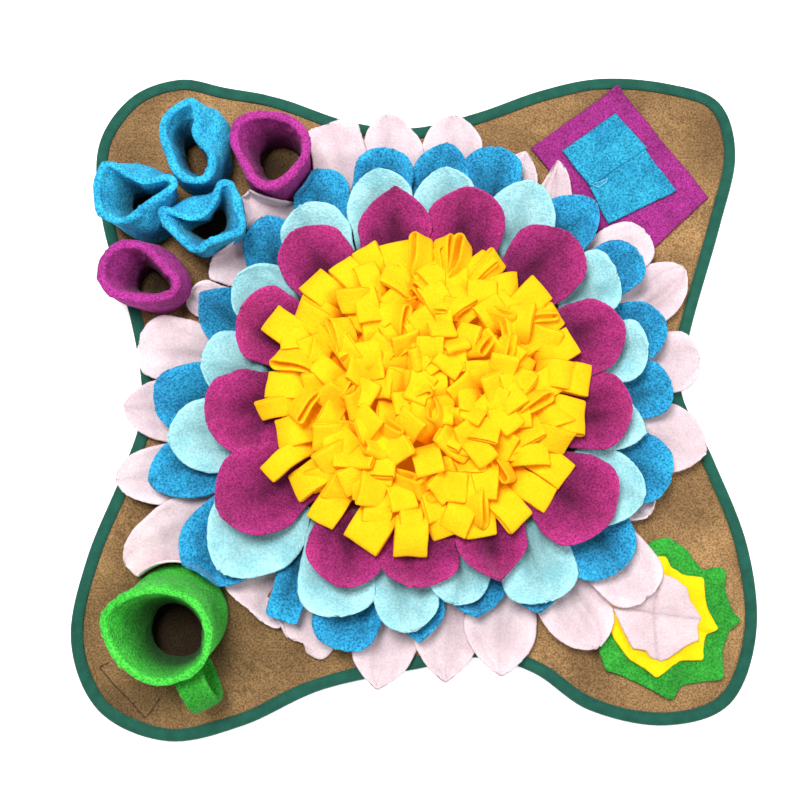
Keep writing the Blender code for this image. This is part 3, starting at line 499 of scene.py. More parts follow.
FLEECES = {
    "brown_fleece": Look((164, 126, 80), (128, 96, 58), 1.7, 1.2, 1.45, 0.1, 60, nap_and_painted_light=(0.08, 1.16)),
    "pink_fleece": Look((236, 215, 219), (222, 197, 203), 1.9, 0.7, 0.30, 0.15, 26, nap_and_painted_light=(0.72, 1.05)),
    "blue_fleece": Look((28, 152, 198), (12, 118, 164), 2.0, 1.4, 1.5, 0.2, 30, nap_and_painted_light=(0.42, 1.40),
                        pebbled=True),
    "aqua_fleece": Look((178, 232, 236), (148, 212, 220), 2.0, 1.1, 0.5, 0.15, 24, nap_and_painted_light=(0.54, 1.12)),
    "purple_fleece": Look((166, 34, 112), (134, 24, 92), 1.7, 1.3, 1.1, 0.15, 36, nap_and_painted_light=(0.32, 1.50)),
    # The yellow fleece's low nap tints it orange: painted shade deep between the strips.
    "yellow_fleece": Look((249, 196, 15), (246, 188, 10), 2.2, 0.5, 0.22, 0.0, 30, 0.12,
                          nap_and_painted_light=((0.82, 0.46, 0.5), 1.0)),
    "bright_blue_fleece": Look((44, 180, 220), (22, 146, 192), 2.0, 1.3, 1.5, 0.05, 26,
                               nap_and_painted_light=(0.30, 1.16), pebbled=True),
    "magenta_fleece": Look((174, 44, 142), (148, 34, 120), 1.8, 1.3, 1.3, 0.05, 30, nap_and_painted_light=(0.34, 1.16),
                           pebbled=True),
    "green_fleece": Look((72, 206, 64), (46, 174, 44), 1.9, 1.3, 1.25, 0.05, 34, nap_and_painted_light=(0.14, 1.16),
                         pebbled=True),
    "star_green_fleece": Look((48, 162, 48), (34, 138, 38), 1.8, 1.0, 1.1, 0.1, 24),
    "star_yellow_fleece": Look((255, 214, 14), (255, 202, 10), 2.2, 0.4, 0.16, 0.0, 24, 0.10),
    "green_thread": Look((30, 88, 72), (24, 72, 60), 0.8, 0.3, 0.3, 0.1, 10),
    "pale_thread": Look((150, 222, 240), (120, 204, 230), 0.8, 0.3, 0.3, 0.1, 10),
}
# ---- camera and light ----------------------------------------------------------------------------
CAMERA_TILT = 8.3
CAMERA_AWAY = 900
CAMERA_TARGET = (-13.0, -9.0, 0.0)
LENS_MM = 44.7
SENSOR_MM = 36.0
FLOOR_WIDE = 6.0
FLOOR_GREY = 0.93
FLOOR_GLOW = 0.50
WORLD_LIGHT = 0.21
# Square lamps: name, place and size in metres, and power in watts.
LAMPS = (("key", (-0.40, 0.50, 1.9), 0.7, 44.0), ("fill", (1.5, 0.0, 1.5), 1.0, 16.0),
         ("front", (0.0, -1.6, 1.4), 1.0, 6.0))


# ---- helpers -------------------------------------------------------------------------------------
def polar(bearing, radius, height=0.0):
    """The place at a bearing and distance from the origin."""
    angle = math.radians(bearing)
    return np.array((radius * math.cos(angle), radius * math.sin(angle), height))


def smooth(share):
    """Ease from 0 to 1, also over an array."""
    share = np.clip(share, 0.0, 1.0)
    return share * share * (3.0 - 2.0 * share)


def unit(vectors):
    """Vectors along the last axis, scaled to length 1."""
    length = np.linalg.norm(vectors, axis=-1, keepdims=True)
    return vectors / np.maximum(length, 1e-9)


def left_of(heading):
    """The level direction to the left of a heading."""
    return np.array((-heading[1], heading[0], 0.0))


def grain(points, size, seed=0.0):
    """Smooth noise from -1 to 1 at each point, with lumps of about the given size."""
    flat = points.reshape(-1, 3) / size + seed
    values = [noise.noise(Vector(point)) for point in flat.tolist()]
    return np.array(values).reshape(points.shape[:-1])


def closed_curve(knots, steps):
    """Points on a smooth closed curve through the knots, with so many steps to each knot."""
    knots = np.array(knots, dtype=float)
    share = (np.arange(steps) / steps)[:, None]
    runs = []
    for index in range(len(knots)):
        before, here, after, beyond = (knots[(index + shift) % len(knots)] for shift in (-1, 0, 1, 2))
        runs.append(0.5 * (
            2 * here
            + (after - before) * share
            + (2 * before - 5 * here + 4 * after - beyond) * share ** 2
            + (3 * here - before - 3 * after + beyond) * share ** 3
        ))
    return np.concatenate(runs)


def spread_evenly(loop, count):
    """So many points at even distances along a closed loop."""
    closed = np.vstack((loop, loop[:1]))
    travelled = np.concatenate(([0.0], np.cumsum(np.linalg.norm(np.diff(closed, axis=0), axis=1))))
    wanted = np.arange(count) / count * travelled[-1]
    return np.stack([np.interp(wanted, travelled, closed[:, axis]) for axis in range(closed.shape[1])], 1)


def softened(line, times):
    """An open line with its corners rounded off."""
    for _ in range(times):
        line[1:-1] = (line[:-2] + 2 * line[1:-1] + line[2:]) / 4
    return line


def outward_of(line):
    """Outward normals of a closed line seen from above."""
    ahead = np.roll(line, -1, axis=0) - np.roll(line, 1, axis=0)
    return unit(np.stack((ahead[:, 1], -ahead[:, 0]), 1))


def at_height(line, height):
    """A line seen from above, laid at one height or at one for each of its points."""
    return np.column_stack((line, np.broadcast_to(height, len(line))))


def distance_to_line(points, start, end):
    """Distance of points to a straight line between two places, seen from above."""
    start, end = np.array(start, dtype=float), np.array(end, dtype=float)
    run = end - start
    share = np.clip(((points[..., :2] - start) @ run) / (run @ run), 0.0, 1.0)
    return np.linalg.norm(points[..., :2] - (start + share[..., None] * run), axis=-1)


def normals_of(grid, wrap=False):
    """Unit normals of a grid of points; wrap says that its columns run round in a ring."""
    ahead = np.gradient(grid, axis=0)
    if wrap:
        across = np.roll(grid, -1, axis=1) - np.roll(grid, 1, axis=1)
    else:
        across = np.gradient(grid, axis=1)
    return unit(np.cross(across, ahead))


def grid_faces(rows, columns, start=0, wrap=False):
    """Quads of a grid whose points are listed row after row from start on."""
    faces = []
    for row in range(rows - 1):
        for column in range(columns if wrap else columns - 1):
            after = (column + 1) % columns
            low = start + row * columns
            faces.append((low + column, low + after, low + columns + after, low + columns + column))
    return faces


def tube_faces(rows, columns, start=0):
    """Faces of a tube whose rows are its rings, with a flat cap on each end."""
    last = start + (rows - 1) * columns
    caps = [tuple(range(start, start + columns)), tuple(range(last, last + columns))]
    return grid_faces(rows, columns, start, wrap=True) + caps


def ring_faces(rows, columns):
    """Faces of a ring-shaped solid, whose last row goes on to its first."""
    last = (rows - 1) * columns
    seam = [(last + column, last + (column + 1) % columns, (column + 1) % columns, column)
            for column in range(columns)]
    return grid_faces(rows, columns, wrap=True) + seam


def make_object(name, points, faces, material, nap_and_painted_light=0.5):
    """A smooth-shaded object from points in design millimetres, riding on the part.

    nap is one value, or one for each point: brightness painted into the colour, which carries tone, painted
    shade and painted highlights.
    """
    mesh = bpy.data.meshes.new(name)
    placed = (np.asarray(points, dtype=float).reshape(-1, 3) + SHIFT) * METRES
    mesh.from_pydata(placed.tolist(), [], faces)
    nap_and_light = mesh.attributes.new("nap_and_painted_light", "FLOAT", "POINT")
    nap_and_light.data.foreach_set("value", np.broadcast_to(np.ravel(nap_and_painted_light), len(placed)).astype(np.float32))
    work = bmesh.new()
    work.from_mesh(mesh)
    bmesh.ops.recalc_face_normals(work, faces=work.faces)
    work.to_mesh(mesh)
    work.free()
    mesh.shade_smooth()
    mesh.materials.append(material)
    thing = bpy.data.objects.new(name, mesh)
    bpy.context.scene.collection.objects.link(thing)
    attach(thing, "root")
    return thing


def cloth_from_grid(name, grid, thickness, material, nap_and_painted_light=None, cut_edge_shade=1.0):
    """Thicken a grid of mid-surface points into cloth with rounded cut edges.

    The nap (painted brightness) is given for each point of the grid, and cut_edge_shade multiplies it along
    the cut edges, to paint shade there.
    """
    rows, columns = grid.shape[:2]
    normals = normals_of(grid)
    inward = np.zeros_like(grid)
    soft = CUT_SOFT * thickness
    inward[0] += unit(grid[1] - grid[0]) * soft
    inward[-1] += unit(grid[-2] - grid[-1]) * soft
    inward[:, 0] += unit(grid[:, 1] - grid[:, 0]) * soft
    inward[:, -1] += unit(grid[:, -2] - grid[:, -1]) * soft
    top = grid + normals * (thickness / 2) + inward
    under = grid - normals * (thickness / 2) + inward
    count = rows * columns
    border = list(range(columns))
    border += [row * columns + columns - 1 for row in range(1, rows)]
    border += [(rows - 1) * columns + column for column in range(columns - 2, -1, -1)]
    border += [row * columns for row in range(rows - 2, 0, -1)]
    rim = (grid - inward * CUT_PROUD).reshape(-1, 3)[border]
    points = np.concatenate((top.reshape(-1, 3), under.reshape(-1, 3), rim))
    faces = grid_faces(rows, columns) + grid_faces(rows, columns, count)
    for step, corner in enumerate(border):
        after = border[(step + 1) % len(border)]
        here = 2 * count + step
        there = 2 * count + (step + 1) % len(border)
        faces.append((corner, after, there, here))
        faces.append((here, there, count + after, count + corner))
    nap_and_light = np.full(count, FLAT_NAP) if nap_and_painted_light is None else nap_and_painted_light.reshape(-1)
    return make_object(name, points, faces, material,
                       np.concatenate((nap_and_light, nap_and_light, nap_and_light[border] * cut_edge_shade)))


def stand_for(node):
    """Hide the solid that an object replaces."""
    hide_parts(node)


# ---- materials -----------------------------------------------------------------------------------
def shader_of(name, roughness, sheen=0.0, specular=0.15):
    """A new material with its node tree, its Principled shader and object coordinates."""
    material = bpy.data.materials.new(name)
    material.use_nodes = True
    tree = material.node_tree
    shader = tree.nodes["Principled BSDF"]
    shader.inputs["Roughness"].default_value = roughness
    shader.inputs["Specular IOR Level"].default_value = specular
    shader.inputs["Sheen Weight"].default_value = sheen
    shader.inputs["Sheen Roughness"].default_value = SHEEN_ROUGHNESS
    place = tree.nodes.new("ShaderNodeTexCoord")
    return material, tree, shader, place.outputs["Object"]


def grey(value):
    return (value, value, value)


def noise_node(tree, place, size, detail=2.0, roughness=0.5):
    """Noise with lumps of a size in millimetres, from 0 to 1."""
    node = tree.nodes.new("ShaderNodeTexNoise")
    node.inputs["Scale"].default_value = 1.0 / (size * METRES)
    node.inputs["Detail"].default_value = detail
    node.inputs["Roughness"].default_value = roughness
    tree.links.new(place, node.inputs["Vector"])
    return node.outputs["Fac"]


def ramp_node(tree, value, *stops):
    """A colour ramp through stops of a position and a colour."""
    node = tree.nodes.new("ShaderNodeValToRGB")
    band = node.color_ramp
    while len(band.elements) < len(stops):
        band.elements.new(0.5)
    for element, (position, colour) in zip(band.elements, stops):
        element.position = position
        element.color = (*colour, 1.0)
    tree.links.new(value, node.inputs["Fac"])
    return node.outputs["Color"]


def feed(tree, socket, value):
    """Link a socket to another, or set it to a plain number or colour."""
    if isinstance(value, bpy.types.NodeSocket):
        tree.links.new(value, socket)
    else:
        socket.default_value = (*value, 1.0) if isinstance(value, tuple) else value


def mix_node(tree, factor, one, two, blend="MIX"):
    """Mix two colours; each is a socket or a plain colour, and the factor a socket or a number."""
    node = tree.nodes.new("ShaderNodeMix")
    node.data_type = "RGBA"
    node.blend_type = blend
    for index, value in zip(MIX_SOCKETS, (factor, one, two)):
        feed(tree, node.inputs[index], value)
    return node.outputs[2]


def math_node(tree, operation, one, two):
    node = tree.nodes.new("ShaderNodeMath")
    node.operation = operation
    for socket, value in zip(node.inputs, (one, two)):
        feed(tree, socket, value)
    return node.outputs[0]


def bump_node(tree, shader, height, strength, distance):
    """Relief from a height, with its full depth in millimetres."""
    relief = tree.nodes.new("ShaderNodeBump")
    relief.inputs["Strength"].default_value = strength
    relief.inputs["Distance"].default_value = distance * METRES
    tree.links.new(height, relief.inputs["Height"])
    tree.links.new(relief.outputs["Normal"], shader.inputs["Normal"])


def linear(colour):
    """An sRGB colour of 0 to 255 as linear values."""
    shares = [value / 255 for value in colour]
    return tuple(v / 12.92 if v <= 0.04045 else ((v + 0.055) / 1.055) ** 2.4 for v in shares)


def fleece(name, look):
    """Brushed fleece: light tufts on a darker ground, in clumps and in slow patches of tone, with painted
    shade and painted highlights from the mesh's nap attribute and, on some, a painted glow.
    """
    material, tree, shader, place = shader_of(name, FLEECE_ROUGHNESS, look.sheen)
    tufts = noise_node(tree, place, look.pile, 3.0, 0.6)
    if look.pebbled:
        curls = tree.nodes.new("ShaderNodeTexVoronoi")
        curls.inputs["Scale"].default_value = 1.0 / (CURL_SIZE * look.pile * METRES)
        tree.links.new(place, curls.inputs["Vector"])
        rounded = math_node(tree, "SUBTRACT", 1.0, curls.outputs["Distance"])
        tufts = math_node(tree, "ADD", math_node(tree, "MULTIPLY", tufts, 1.0 - CURL_SHARE),
                          math_node(tree, "MULTIPLY", rounded, CURL_SHARE))
    clumps = noise_node(tree, place, look.pile * CLUMP_SIZE, 2.0, 0.5)
    tone = noise_node(tree, place, look.patches, 3.0, 0.55)
    slow = ramp_node(tree, tone, (0.32, grey(0.0)), (0.68, grey(1.0)))
    colour = mix_node(tree, slow, linear(look.light), linear(look.shade))
    pits = ramp_node(tree, tufts, (0.36, grey(0.0)), (0.50, grey(0.5)), (0.64, grey(1.0)))
    dark, light = 1.0 - PIT_DARK * look.speckle, 1.0 + TUFT_LIGHT * look.speckle
    shades = mix_node(tree, pits, grey(dark), grey(light))
    colour = mix_node(tree, 1.0, colour, shades, "MULTIPLY")
    # A painted sheen on the tufts' tips.
    painted_sheen = mix_node(tree, pits, grey(0.0), grey(TUFT_PAINTED_SHEEN * look.speckle))
    colour = mix_node(tree, 1.0, colour, painted_sheen, "ADD")
    clumped = ramp_node(tree, clumps, (0.35, grey(0.90)), (0.65, grey(1.06)))
    colour = mix_node(tree, look.speckle, colour, mix_node(tree, 1.0, colour, clumped, "MULTIPLY"))
    # Painted light: the mesh's nap attribute darkens the colour where it is low (painted shade) and lightens
    # it where it is high (painted highlights).
    nap_and_light = tree.nodes.new("ShaderNodeAttribute")
    nap_and_light.attribute_name = "nap_and_painted_light"
    pressed_and_shaded, raised_and_lit = (tuple(np.broadcast_to(end, 3) / NAP_AND_LIGHT_RANGE) for end in look.nap_and_painted_light)
    painted_light_tint = ramp_node(tree, nap_and_light.outputs["Fac"], (0.0, pressed_and_shaded), (1.0, raised_and_lit))
    colour = mix_node(tree, 1.0, colour, painted_light_tint, "MULTIPLY")
    colour = mix_node(tree, 1.0, colour, grey(NAP_AND_LIGHT_RANGE), "MULTIPLY")
    tree.links.new(colour, shader.inputs["Base Color"])
    # A painted glow, not a lamp.
    if look.painted_glow:
        shader.inputs["Emission Color"].default_value = (*PAINTED_GLOW_COLOUR, 1.0)
        shader.inputs["Emission Strength"].default_value = look.painted_glow
    height = math_node(tree, "ADD", tufts, math_node(tree, "MULTIPLY", clumps, 0.5))
    bump_node(tree, shader, height, look.bump, PILE_DEEP * look.pile)
    return material


def twill(name, light, shade):
    """Woven tape with a fine diagonal rib."""
    material, tree, shader, place = shader_of(name, 0.75, 0.15)
    waves = tree.nodes.new("ShaderNodeTexWave")
    waves.bands_direction = "DIAGONAL"
    waves.inputs["Scale"].default_value = 1.0 / (TWILL_RIB * METRES)
    waves.inputs["Distortion"].default_value = 1.0
    tree.links.new(place, waves.inputs["Vector"])
    base = mix_node(tree, noise_node(tree, place, TWILL_PATCHES, 3.0), linear(light), linear(shade))
    ribs = math_node(tree, "MULTIPLY", waves.outputs["Fac"], 0.25)
    tree.links.new(mix_node(tree, ribs, base, linear(shade)), shader.inputs["Base Color"])
    bump_node(tree, shader, waves.outputs["Fac"], 0.5, 0.3)
    return material


def plain_floor():
    material, _, shader, _ = shader_of("floor", 0.9, specular=0.0)
    shader.inputs["Base Color"].default_value = (*grey(FLOOR_GREY), 1.0)
    shader.inputs["Emission Color"].default_value = (1.0, 1.0, 1.0, 1.0)
    shader.inputs["Emission Strength"].default_value = FLOOR_GLOW
    return material


def make_materials():
    """Every cloth's material by its name."""
    cloth = {name: fleece(name, look) for name, look in FLEECES.items()}
    cloth["green_twill"] = twill("green_twill", (38, 106, 88), (18, 66, 55))
    return cloth


# ---- mat and tape --------------------------------------------------------------------------------
def edge_outline():
    """Points round the mat's edge and their outward normals, as two arrays with z = 0."""
    loop = closed_curve(EDGE, EDGE_STEPS)
    return at_height(loop, 0.0), at_height(outward_of(loop), 0.0)


def base_relief(points):
    """How far the base's top stands above its mean level, from its own unevenness and folds."""
    relief = sum(high * grain(points, long, seed) for high, long, seed in BASE_LUMPS) - BASE_SUNK
    for start, end, wide, high in BASE_FOLDS:
        relief += high * np.exp(-(distance_to_line(points, start, end) / wide) ** 2)
    return relief


def base_tone_and_shade(points):
    """The base's tone in slow random patches, with painted shade beside the mug and on the floor of each
    cup.
    """
    slow = BASE_NAP_VARIES * grain(points * LEVEL, BASE_NAP_LONG, 21.0)
    to_mug = np.linalg.norm(points[..., :2] - BASE_PAINTED_SHADE, axis=-1)
    nap_and_painted_light = np.clip(BASE_NAP + slow, BASE_NAP_LEAST, 1.0)
    # Painted shade beside the mug.
    nap_and_painted_light -= BASE_PAINTED_SHADE_BY * np.exp(-(to_mug / BASE_PAINTED_SHADE_REACH) ** 2)
    for cup in CUPS:
        away = np.linalg.norm(points[..., :2] - cup["foot"], axis=-1)
        # Painted shade on the floor of each cup.
        nap_and_painted_light = nap_and_painted_light - CUP_FLOOR_PAINTED_SHADE * np.exp(-(away / cup["foot_r"]) ** 4)
    return np.clip(nap_and_painted_light, 0.0, 1.0)


def build_base(cloth):
    loop, outward = edge_outline()
    clear_of_tape = TAPE_THICK + CLEAR
    step_in = TAPE_FACE + STEP_GAP
    middle = loop.mean(axis=0)
    shares = np.linspace(CENTRE_SHARE, 1.0, BASE_RINGS)
    rim_line = loop - outward * clear_of_tape
    top = np.array([middle + (rim_line - middle) * share for share in shares])
    top[..., 2] = MAT_TOP
    under_tape = np.clip((shares - BASE_DIPS_FROM) / BASE_DIPS_OVER, 0.0, 1.0)[:, None]
    top[..., 2] += base_relief(top) * (1 - under_tape) - BASE_DIP * under_tape
    lower = []
    for inset, height in ((clear_of_tape, clear_of_tape), (step_in, clear_of_tape),
                          (step_in + STEP_SLOPE, 0.0)):
        lower.append(at_height((loop - outward * inset)[:, :2], height))
    for share in (0.6, CENTRE_SHARE):
        lower.append(at_height((middle + (lower[2] - middle) * share)[:, :2], 0.0))
    grid = np.concatenate((top, np.array(lower)))
    faces = tube_faces(*grid.shape[:2])
    thing = make_object("base_cloth", grid, faces, cloth["brown_fleece"], base_tone_and_shade(grid))
    stand_for("mat_base")


def build_crease(cloth):
    """A fine line pressed into the base, with a low ridge on each side of it."""
    knots = np.array(BASE_CREASE, dtype=float)
    line = []
    for here, after in zip(knots[:-1], knots[1:]):
        steps = max(int(np.linalg.norm(after - here) / CREASE_STEP), 2)
        line += [here + (after - here) * step / steps for step in range(steps)]
    line = at_height(softened(np.array((*line, knots[-1])), 2), MAT_TOP)
    ahead = unit(np.gradient(line, axis=0))
    side = np.stack((-ahead[:, 1], ahead[:, 0], np.zeros(len(line))), 1)
    line = line + side * (0.6 * grain(line, 12, 6.0))[:, None]
    offsets, heights, painted_light_shares = np.array(CREASE_PROFILE).T
    grid = line[:, None] + side[:, None] * offsets[:, None]
    steps = np.arange(len(line))
    ends = smooth(np.minimum(steps, steps[::-1]) / 4)[:, None]
    grid[..., 2] += base_relief(grid) + heights * (0.2 + 0.8 * ends) - 0.5 * (1 - ends)
    # Painted shade in the pressed line, slightly lighter on its ridges.
    nap_and_painted_light = np.clip(base_tone_and_shade(grid) * painted_light_shares, 0.0, 1.0)
    thing = make_object("base_crease", grid, tube_faces(*grid.shape[:2]), cloth["brown_fleece"], nap_and_painted_light)


def build_tape(cloth):
    """The tape folded round the edge, a little puckered along its sewn side."""
    loop, outward = edge_outline()
    face, thick, top = TAPE_FACE, TAPE_THICK, TAPE_TOP
    section = (
        (face, top - 0.55), (face - 0.5, top), (face - 3.0, top + 0.05), (face * 0.5, top + 0.25),
        (2.2, top), (1.0, top - 0.5), (0.25, top - 1.4), (0.0, top / 2), (0.25, 1.4), (1.0, 0.5),
        (2.2, 0.0), (face * 0.5, 0.0), (face - 0.5, 0.0), (face, 0.5), (face, thick),
        (thick, thick), (thick, top - thick), (face, top - thick),
    )
    grid = np.array([at_height((loop - outward * inset)[:, :2], height) for inset, height in section])
    pucker = TAPE_PUCKER * grain(loop, 9, 5.0)
    drift = TAPE_DRIFT * grain(loop, 40, 9.0)
    past_joint = np.arange(len(loop)) - np.argmin(np.linalg.norm(loop[:, :2] - TAPE_JOINT, axis=1))
    overlap = TAPE_OVERLAP * ((past_joint > 0) & (past_joint <= 2))
    overlap += np.where((past_joint > 2) & (past_joint < 6), TAPE_OVERLAP - 0.2 * (past_joint - 2), 0.0)
    for row, (inset, height) in enumerate(section):
        if height > top / 2:
            grid[row, :, 2] += pucker * min(inset / face, 1.0) + overlap * min(height / top, 1.0)
        grid[row] += outward * (drift * (inset / face))[:, None]
    thing = make_object("edge_tape", grid, ring_faces(*grid.shape[:2]), cloth["green_twill"])
    stand_for("edge_binding")


def build_binding_stitches(cloth):
    """Short stitches along the tape's sewn side, as one object of small rounded dashes."""
    loop, outward = edge_outline()
    path = (loop - outward * (TAPE_FACE - STITCHES_IN))[:, :2]
    travelled = np.concatenate(([0.0], np.cumsum(np.linalg.norm(np.diff(path, axis=0), axis=1))))
    points, faces = [], []

    def place_at(reach):
        return np.array([np.interp(reach, travelled, path[:, axis]) for axis in range(2)])

    for number in range(int(travelled[-1] / STITCH_PITCH)):
        faces += tube_faces(len(STITCH_PROFILE), STITCH_ROUND, len(points))
        for share, width in STITCH_PROFILE:
            reach = number * STITCH_PITCH + share * STITCH_LONG
            place = place_at(reach)
            ahead = place_at(reach + 0.5) - place
            heading = unit(ahead) if np.linalg.norm(ahead) > 1e-6 else heading
            middle = np.array((*place, TAPE_TOP + 0.1 - 0.25 * (1 - width)))
            for angle in np.linspace(0, math.tau, STITCH_ROUND, endpoint=False):
                offset = left_of(heading) * math.cos(angle) + UP * math.sin(angle)
                points.append(middle + offset * STITCH_R * width)
    thing = make_object("binding_stitches", points, faces, cloth["green_thread"])


# ---- petals --------------------------------------------------------------------------------------
def half_width(form, share, root_half, half, dice):
    """Half width of a petal at shares of its length, from its root to its hand-cut tip."""
    swell = form["swell"] * dice.uniform(0.82, 1.25)
    blunt = form["blunt"] * dice.uniform(0.88, 1.15)
    grow = root_half + (half - root_half) * smooth(share / form["from"])
    over = np.clip((share - form["from"]) / (1 - form["from"]), 0.0, 1.0)
    cap = half * np.maximum(1 - over ** swell, 0.0) ** (1 / blunt)
    return np.where(share < form["from"], grow, cap)


def keep_off_cups(grid):
    """Turn up whatever would run into a cup, so that it leans on the cup's wall."""
    for cup in CUPS:
        rim_middle = closed_curve(cup["rim"], 4).mean(axis=0)
        foot_middle = np.array(cup["foot"], dtype=float)
        for _ in range(3):
            climb = np.clip((grid[..., 2] - SEWN_ON) / (cup["height"] - SEWN_ON), 0.0, 1.0)
            middle = foot_middle + climb[..., None] * (rim_middle - foot_middle)
            spoke = grid[..., :2] - middle
            away = np.linalg.norm(spoke, axis=-1)
            inside = np.maximum(cup["foot_r"] + CUP_BERTH + CUP_BERTH_GROWS * climb - away, 0.0)
            grid[..., :2] += unit(spoke) * inside[..., None]
            grid[..., 2] += inside
    return grid


def petal_root(ring, bearing, half_slot, shares):
    """Rows of a petal's sewn foot, from the mat up to its ring's level."""
    rows = []
    for up in np.arange(ROOT_ROWS) / ROOT_ROWS:
        radius = ring["inner"] + (ring["outer"] - ring["inner"]) * up
        height = SEWN_ON + FLEECE / 2 + (ring["level"] - SEWN_ON - FLEECE / 2) * smooth(up)
        rows.append([FLOWER + polar(bearing + share * half_slot, radius, height) for share in shares])
    return np.array(rows)


def petal_height(ring, petal, along, share, reach, long, hem, dice):
    """Height of a petal's blade at each point, its folds and its distance from the middle, 0 to 1."""
    shown = smooth((along - 0.25) / 0.5)
    tilt = math.tan(math.radians(petal.roll))
    height = ring["level"] + (ring["tip_level"] - ring["level"]) * along
    height = height + smooth(along / 0.5) * (petal.lift - tilt * reach)
    out = np.sqrt((2 * reach / petal.width) ** 2 + (np.maximum(along - 0.45, 0) / 0.55) ** 2)
    out = np.minimum(out, 1.0)
    height = height + shown * petal.cup * dice.uniform(0.75, 1.3) * out ** 2.6
    height = height + petal.rise * ring["stand"] * along ** 3
    fade = (1 - 0.8 * along ** 2) * smooth(along / 0.25)
    first = dice.uniform(-0.28, 0.28)
    second = first + dice.choice((-1, 1)) * dice.uniform(0.5, 0.7)
    bend = dice.uniform(-0.35, 0.35) * (along - 0.5)
    folded = np.exp(-((share - first - bend) / FOLD_WIDE) ** 2) * fade
    folded = folded + SECOND_FOLD * np.exp(-((share - second + bend) / SECOND_FOLD_WIDE) ** 2) * fade
    height = height - petal.pinch * folded
    height = height + petal.curl * smooth((along - 0.66) / 0.34) ** 2
    height = height - HEM_DIPS * hem
    wave = np.sin(math.tau * (along * long / dice.uniform(46, 62) + dice.random()) + 1.1 * np.sign(share))
    height = height + WAVE_HIGH * shown * np.abs(2 * reach / petal.width) ** 3 * wave
    return height, folded, out


def petal_grid(ring, index):
    """Mid-surface of one petal, from its sewn foot on the mat to its tip, and its nap: painted shade at its
    covered root and in its folds, a painted highlight towards its rim.
    """
    petal = ring["petals"][index]
    dice = random.Random(index * 31 + ring["outer"])
    slot = 360 / len(ring["petals"])
    bearing = ring["first_root"] + index * slot
    half_slot = slot / 2 - SLOT_GAP_DEG / 2
    share = np.linspace(-1, 1, PETAL_COLUMNS)
    along = 0.997 * (1 - (1 - np.linspace(0, 1, BLADE_ROWS)) ** 1.6)[:, None]
    start = FLOWER + polar(bearing, ring["outer"])
    tip = FLOWER + polar(petal.bearing, petal.reach)
    long = np.linalg.norm(tip - start)
    axis = (tip - start) / long
    side = left_of(axis)
    root_half = ring["outer"] * math.tan(math.radians(half_slot))
    halves = [half_width(petal.form, along[:, 0], root_half, petal.width / 2, dice) for _ in range(2)]
    for end, half in zip((-1, 1), halves):
        half *= [1 + EDGE_UNEVEN * noise.noise(Vector((step * 3, end * 3.1, index * 1.7 + ring["outer"])))
                 for step in along[:, 0]]
    reach = np.where(share < 0, halves[0][:, None], halves[1][:, None]) * share
    middle = start + (tip - start) * along + side * (petal.bow * along ** 2)
    blade = middle[:, None, :] + side * reach[..., None]
    hem = petal.hem * np.sin(4.6 * share + 2.4) * smooth((along - 0.45) / 0.55)
    blade = blade + axis * hem[..., None]
    blade[..., 2], folded, out = petal_height(ring, petal, along, share, reach, long, hem, dice)
    grid = np.concatenate((petal_root(ring, bearing, half_slot, share), blade))
    flat = grid * LEVEL
    slow = grain(flat + (0, 0, ring["level"] * 7), SWELL_LONG)
    dents = grain(flat + (0, 0, ring["level"] * 7 + index * 9), DENT_LONG)
    rooted = np.zeros((ROOT_ROWS, 1))
    grid[..., 2] += np.vstack((rooted, smooth(along / 0.4))) * (SWELL_HIGH * slow + DENT_HIGH * dents)
    edge = np.clip((np.abs(share) - 0.85) / 0.15, 0.0, 1.0)
    edge = edge + np.vstack((rooted, np.clip((along - 0.97) / 0.03, 0.0, 1.0)))
    outward = unit(grid - grid[len(grid) * 2 // 3, PETAL_COLUMNS // 2])
    grid += outward * (EDGE_RAGGED * grain(grid, 2.4, 11.0) * np.minimum(edge, 1.0))[..., None]
    # Painted shade at the root, under the ring above, and in the folds; a painted highlight towards the rim.
    nap_and_painted_light = ROOT_PAINTED_SHADE * smooth(along / 0.7) + (1 - ROOT_PAINTED_SHADE) * out ** 1.8 - ROOT_PAINTED_SHADE * folded
    nap_and_painted_light = np.concatenate((np.zeros((ROOT_ROWS, PETAL_COLUMNS)), np.clip(nap_and_painted_light, 0.0, 1.0)))
    return keep_off_cups(grid), nap_and_painted_light


def build_petals(cloth):
    for ring in RINGS:
        for index in range(len(ring["petals"])):
            grid, nap_and_painted_light = petal_grid(ring, index)
            name = f"{ring['node'].replace('petals', 'petal')}_{index + 1:02d}"
            thing = cloth_from_grid(name, grid, FLEECE, cloth[ring["cloth"]], nap_and_painted_light)
            stand_for(ring["node"])


# ---- yellow strips -------------------------------------------------------------------------------
def dome(radius):
    """Height of the strips' fold ends at a distance from the flower's middle."""
    return np.interp(radius, *zip(*DOME))


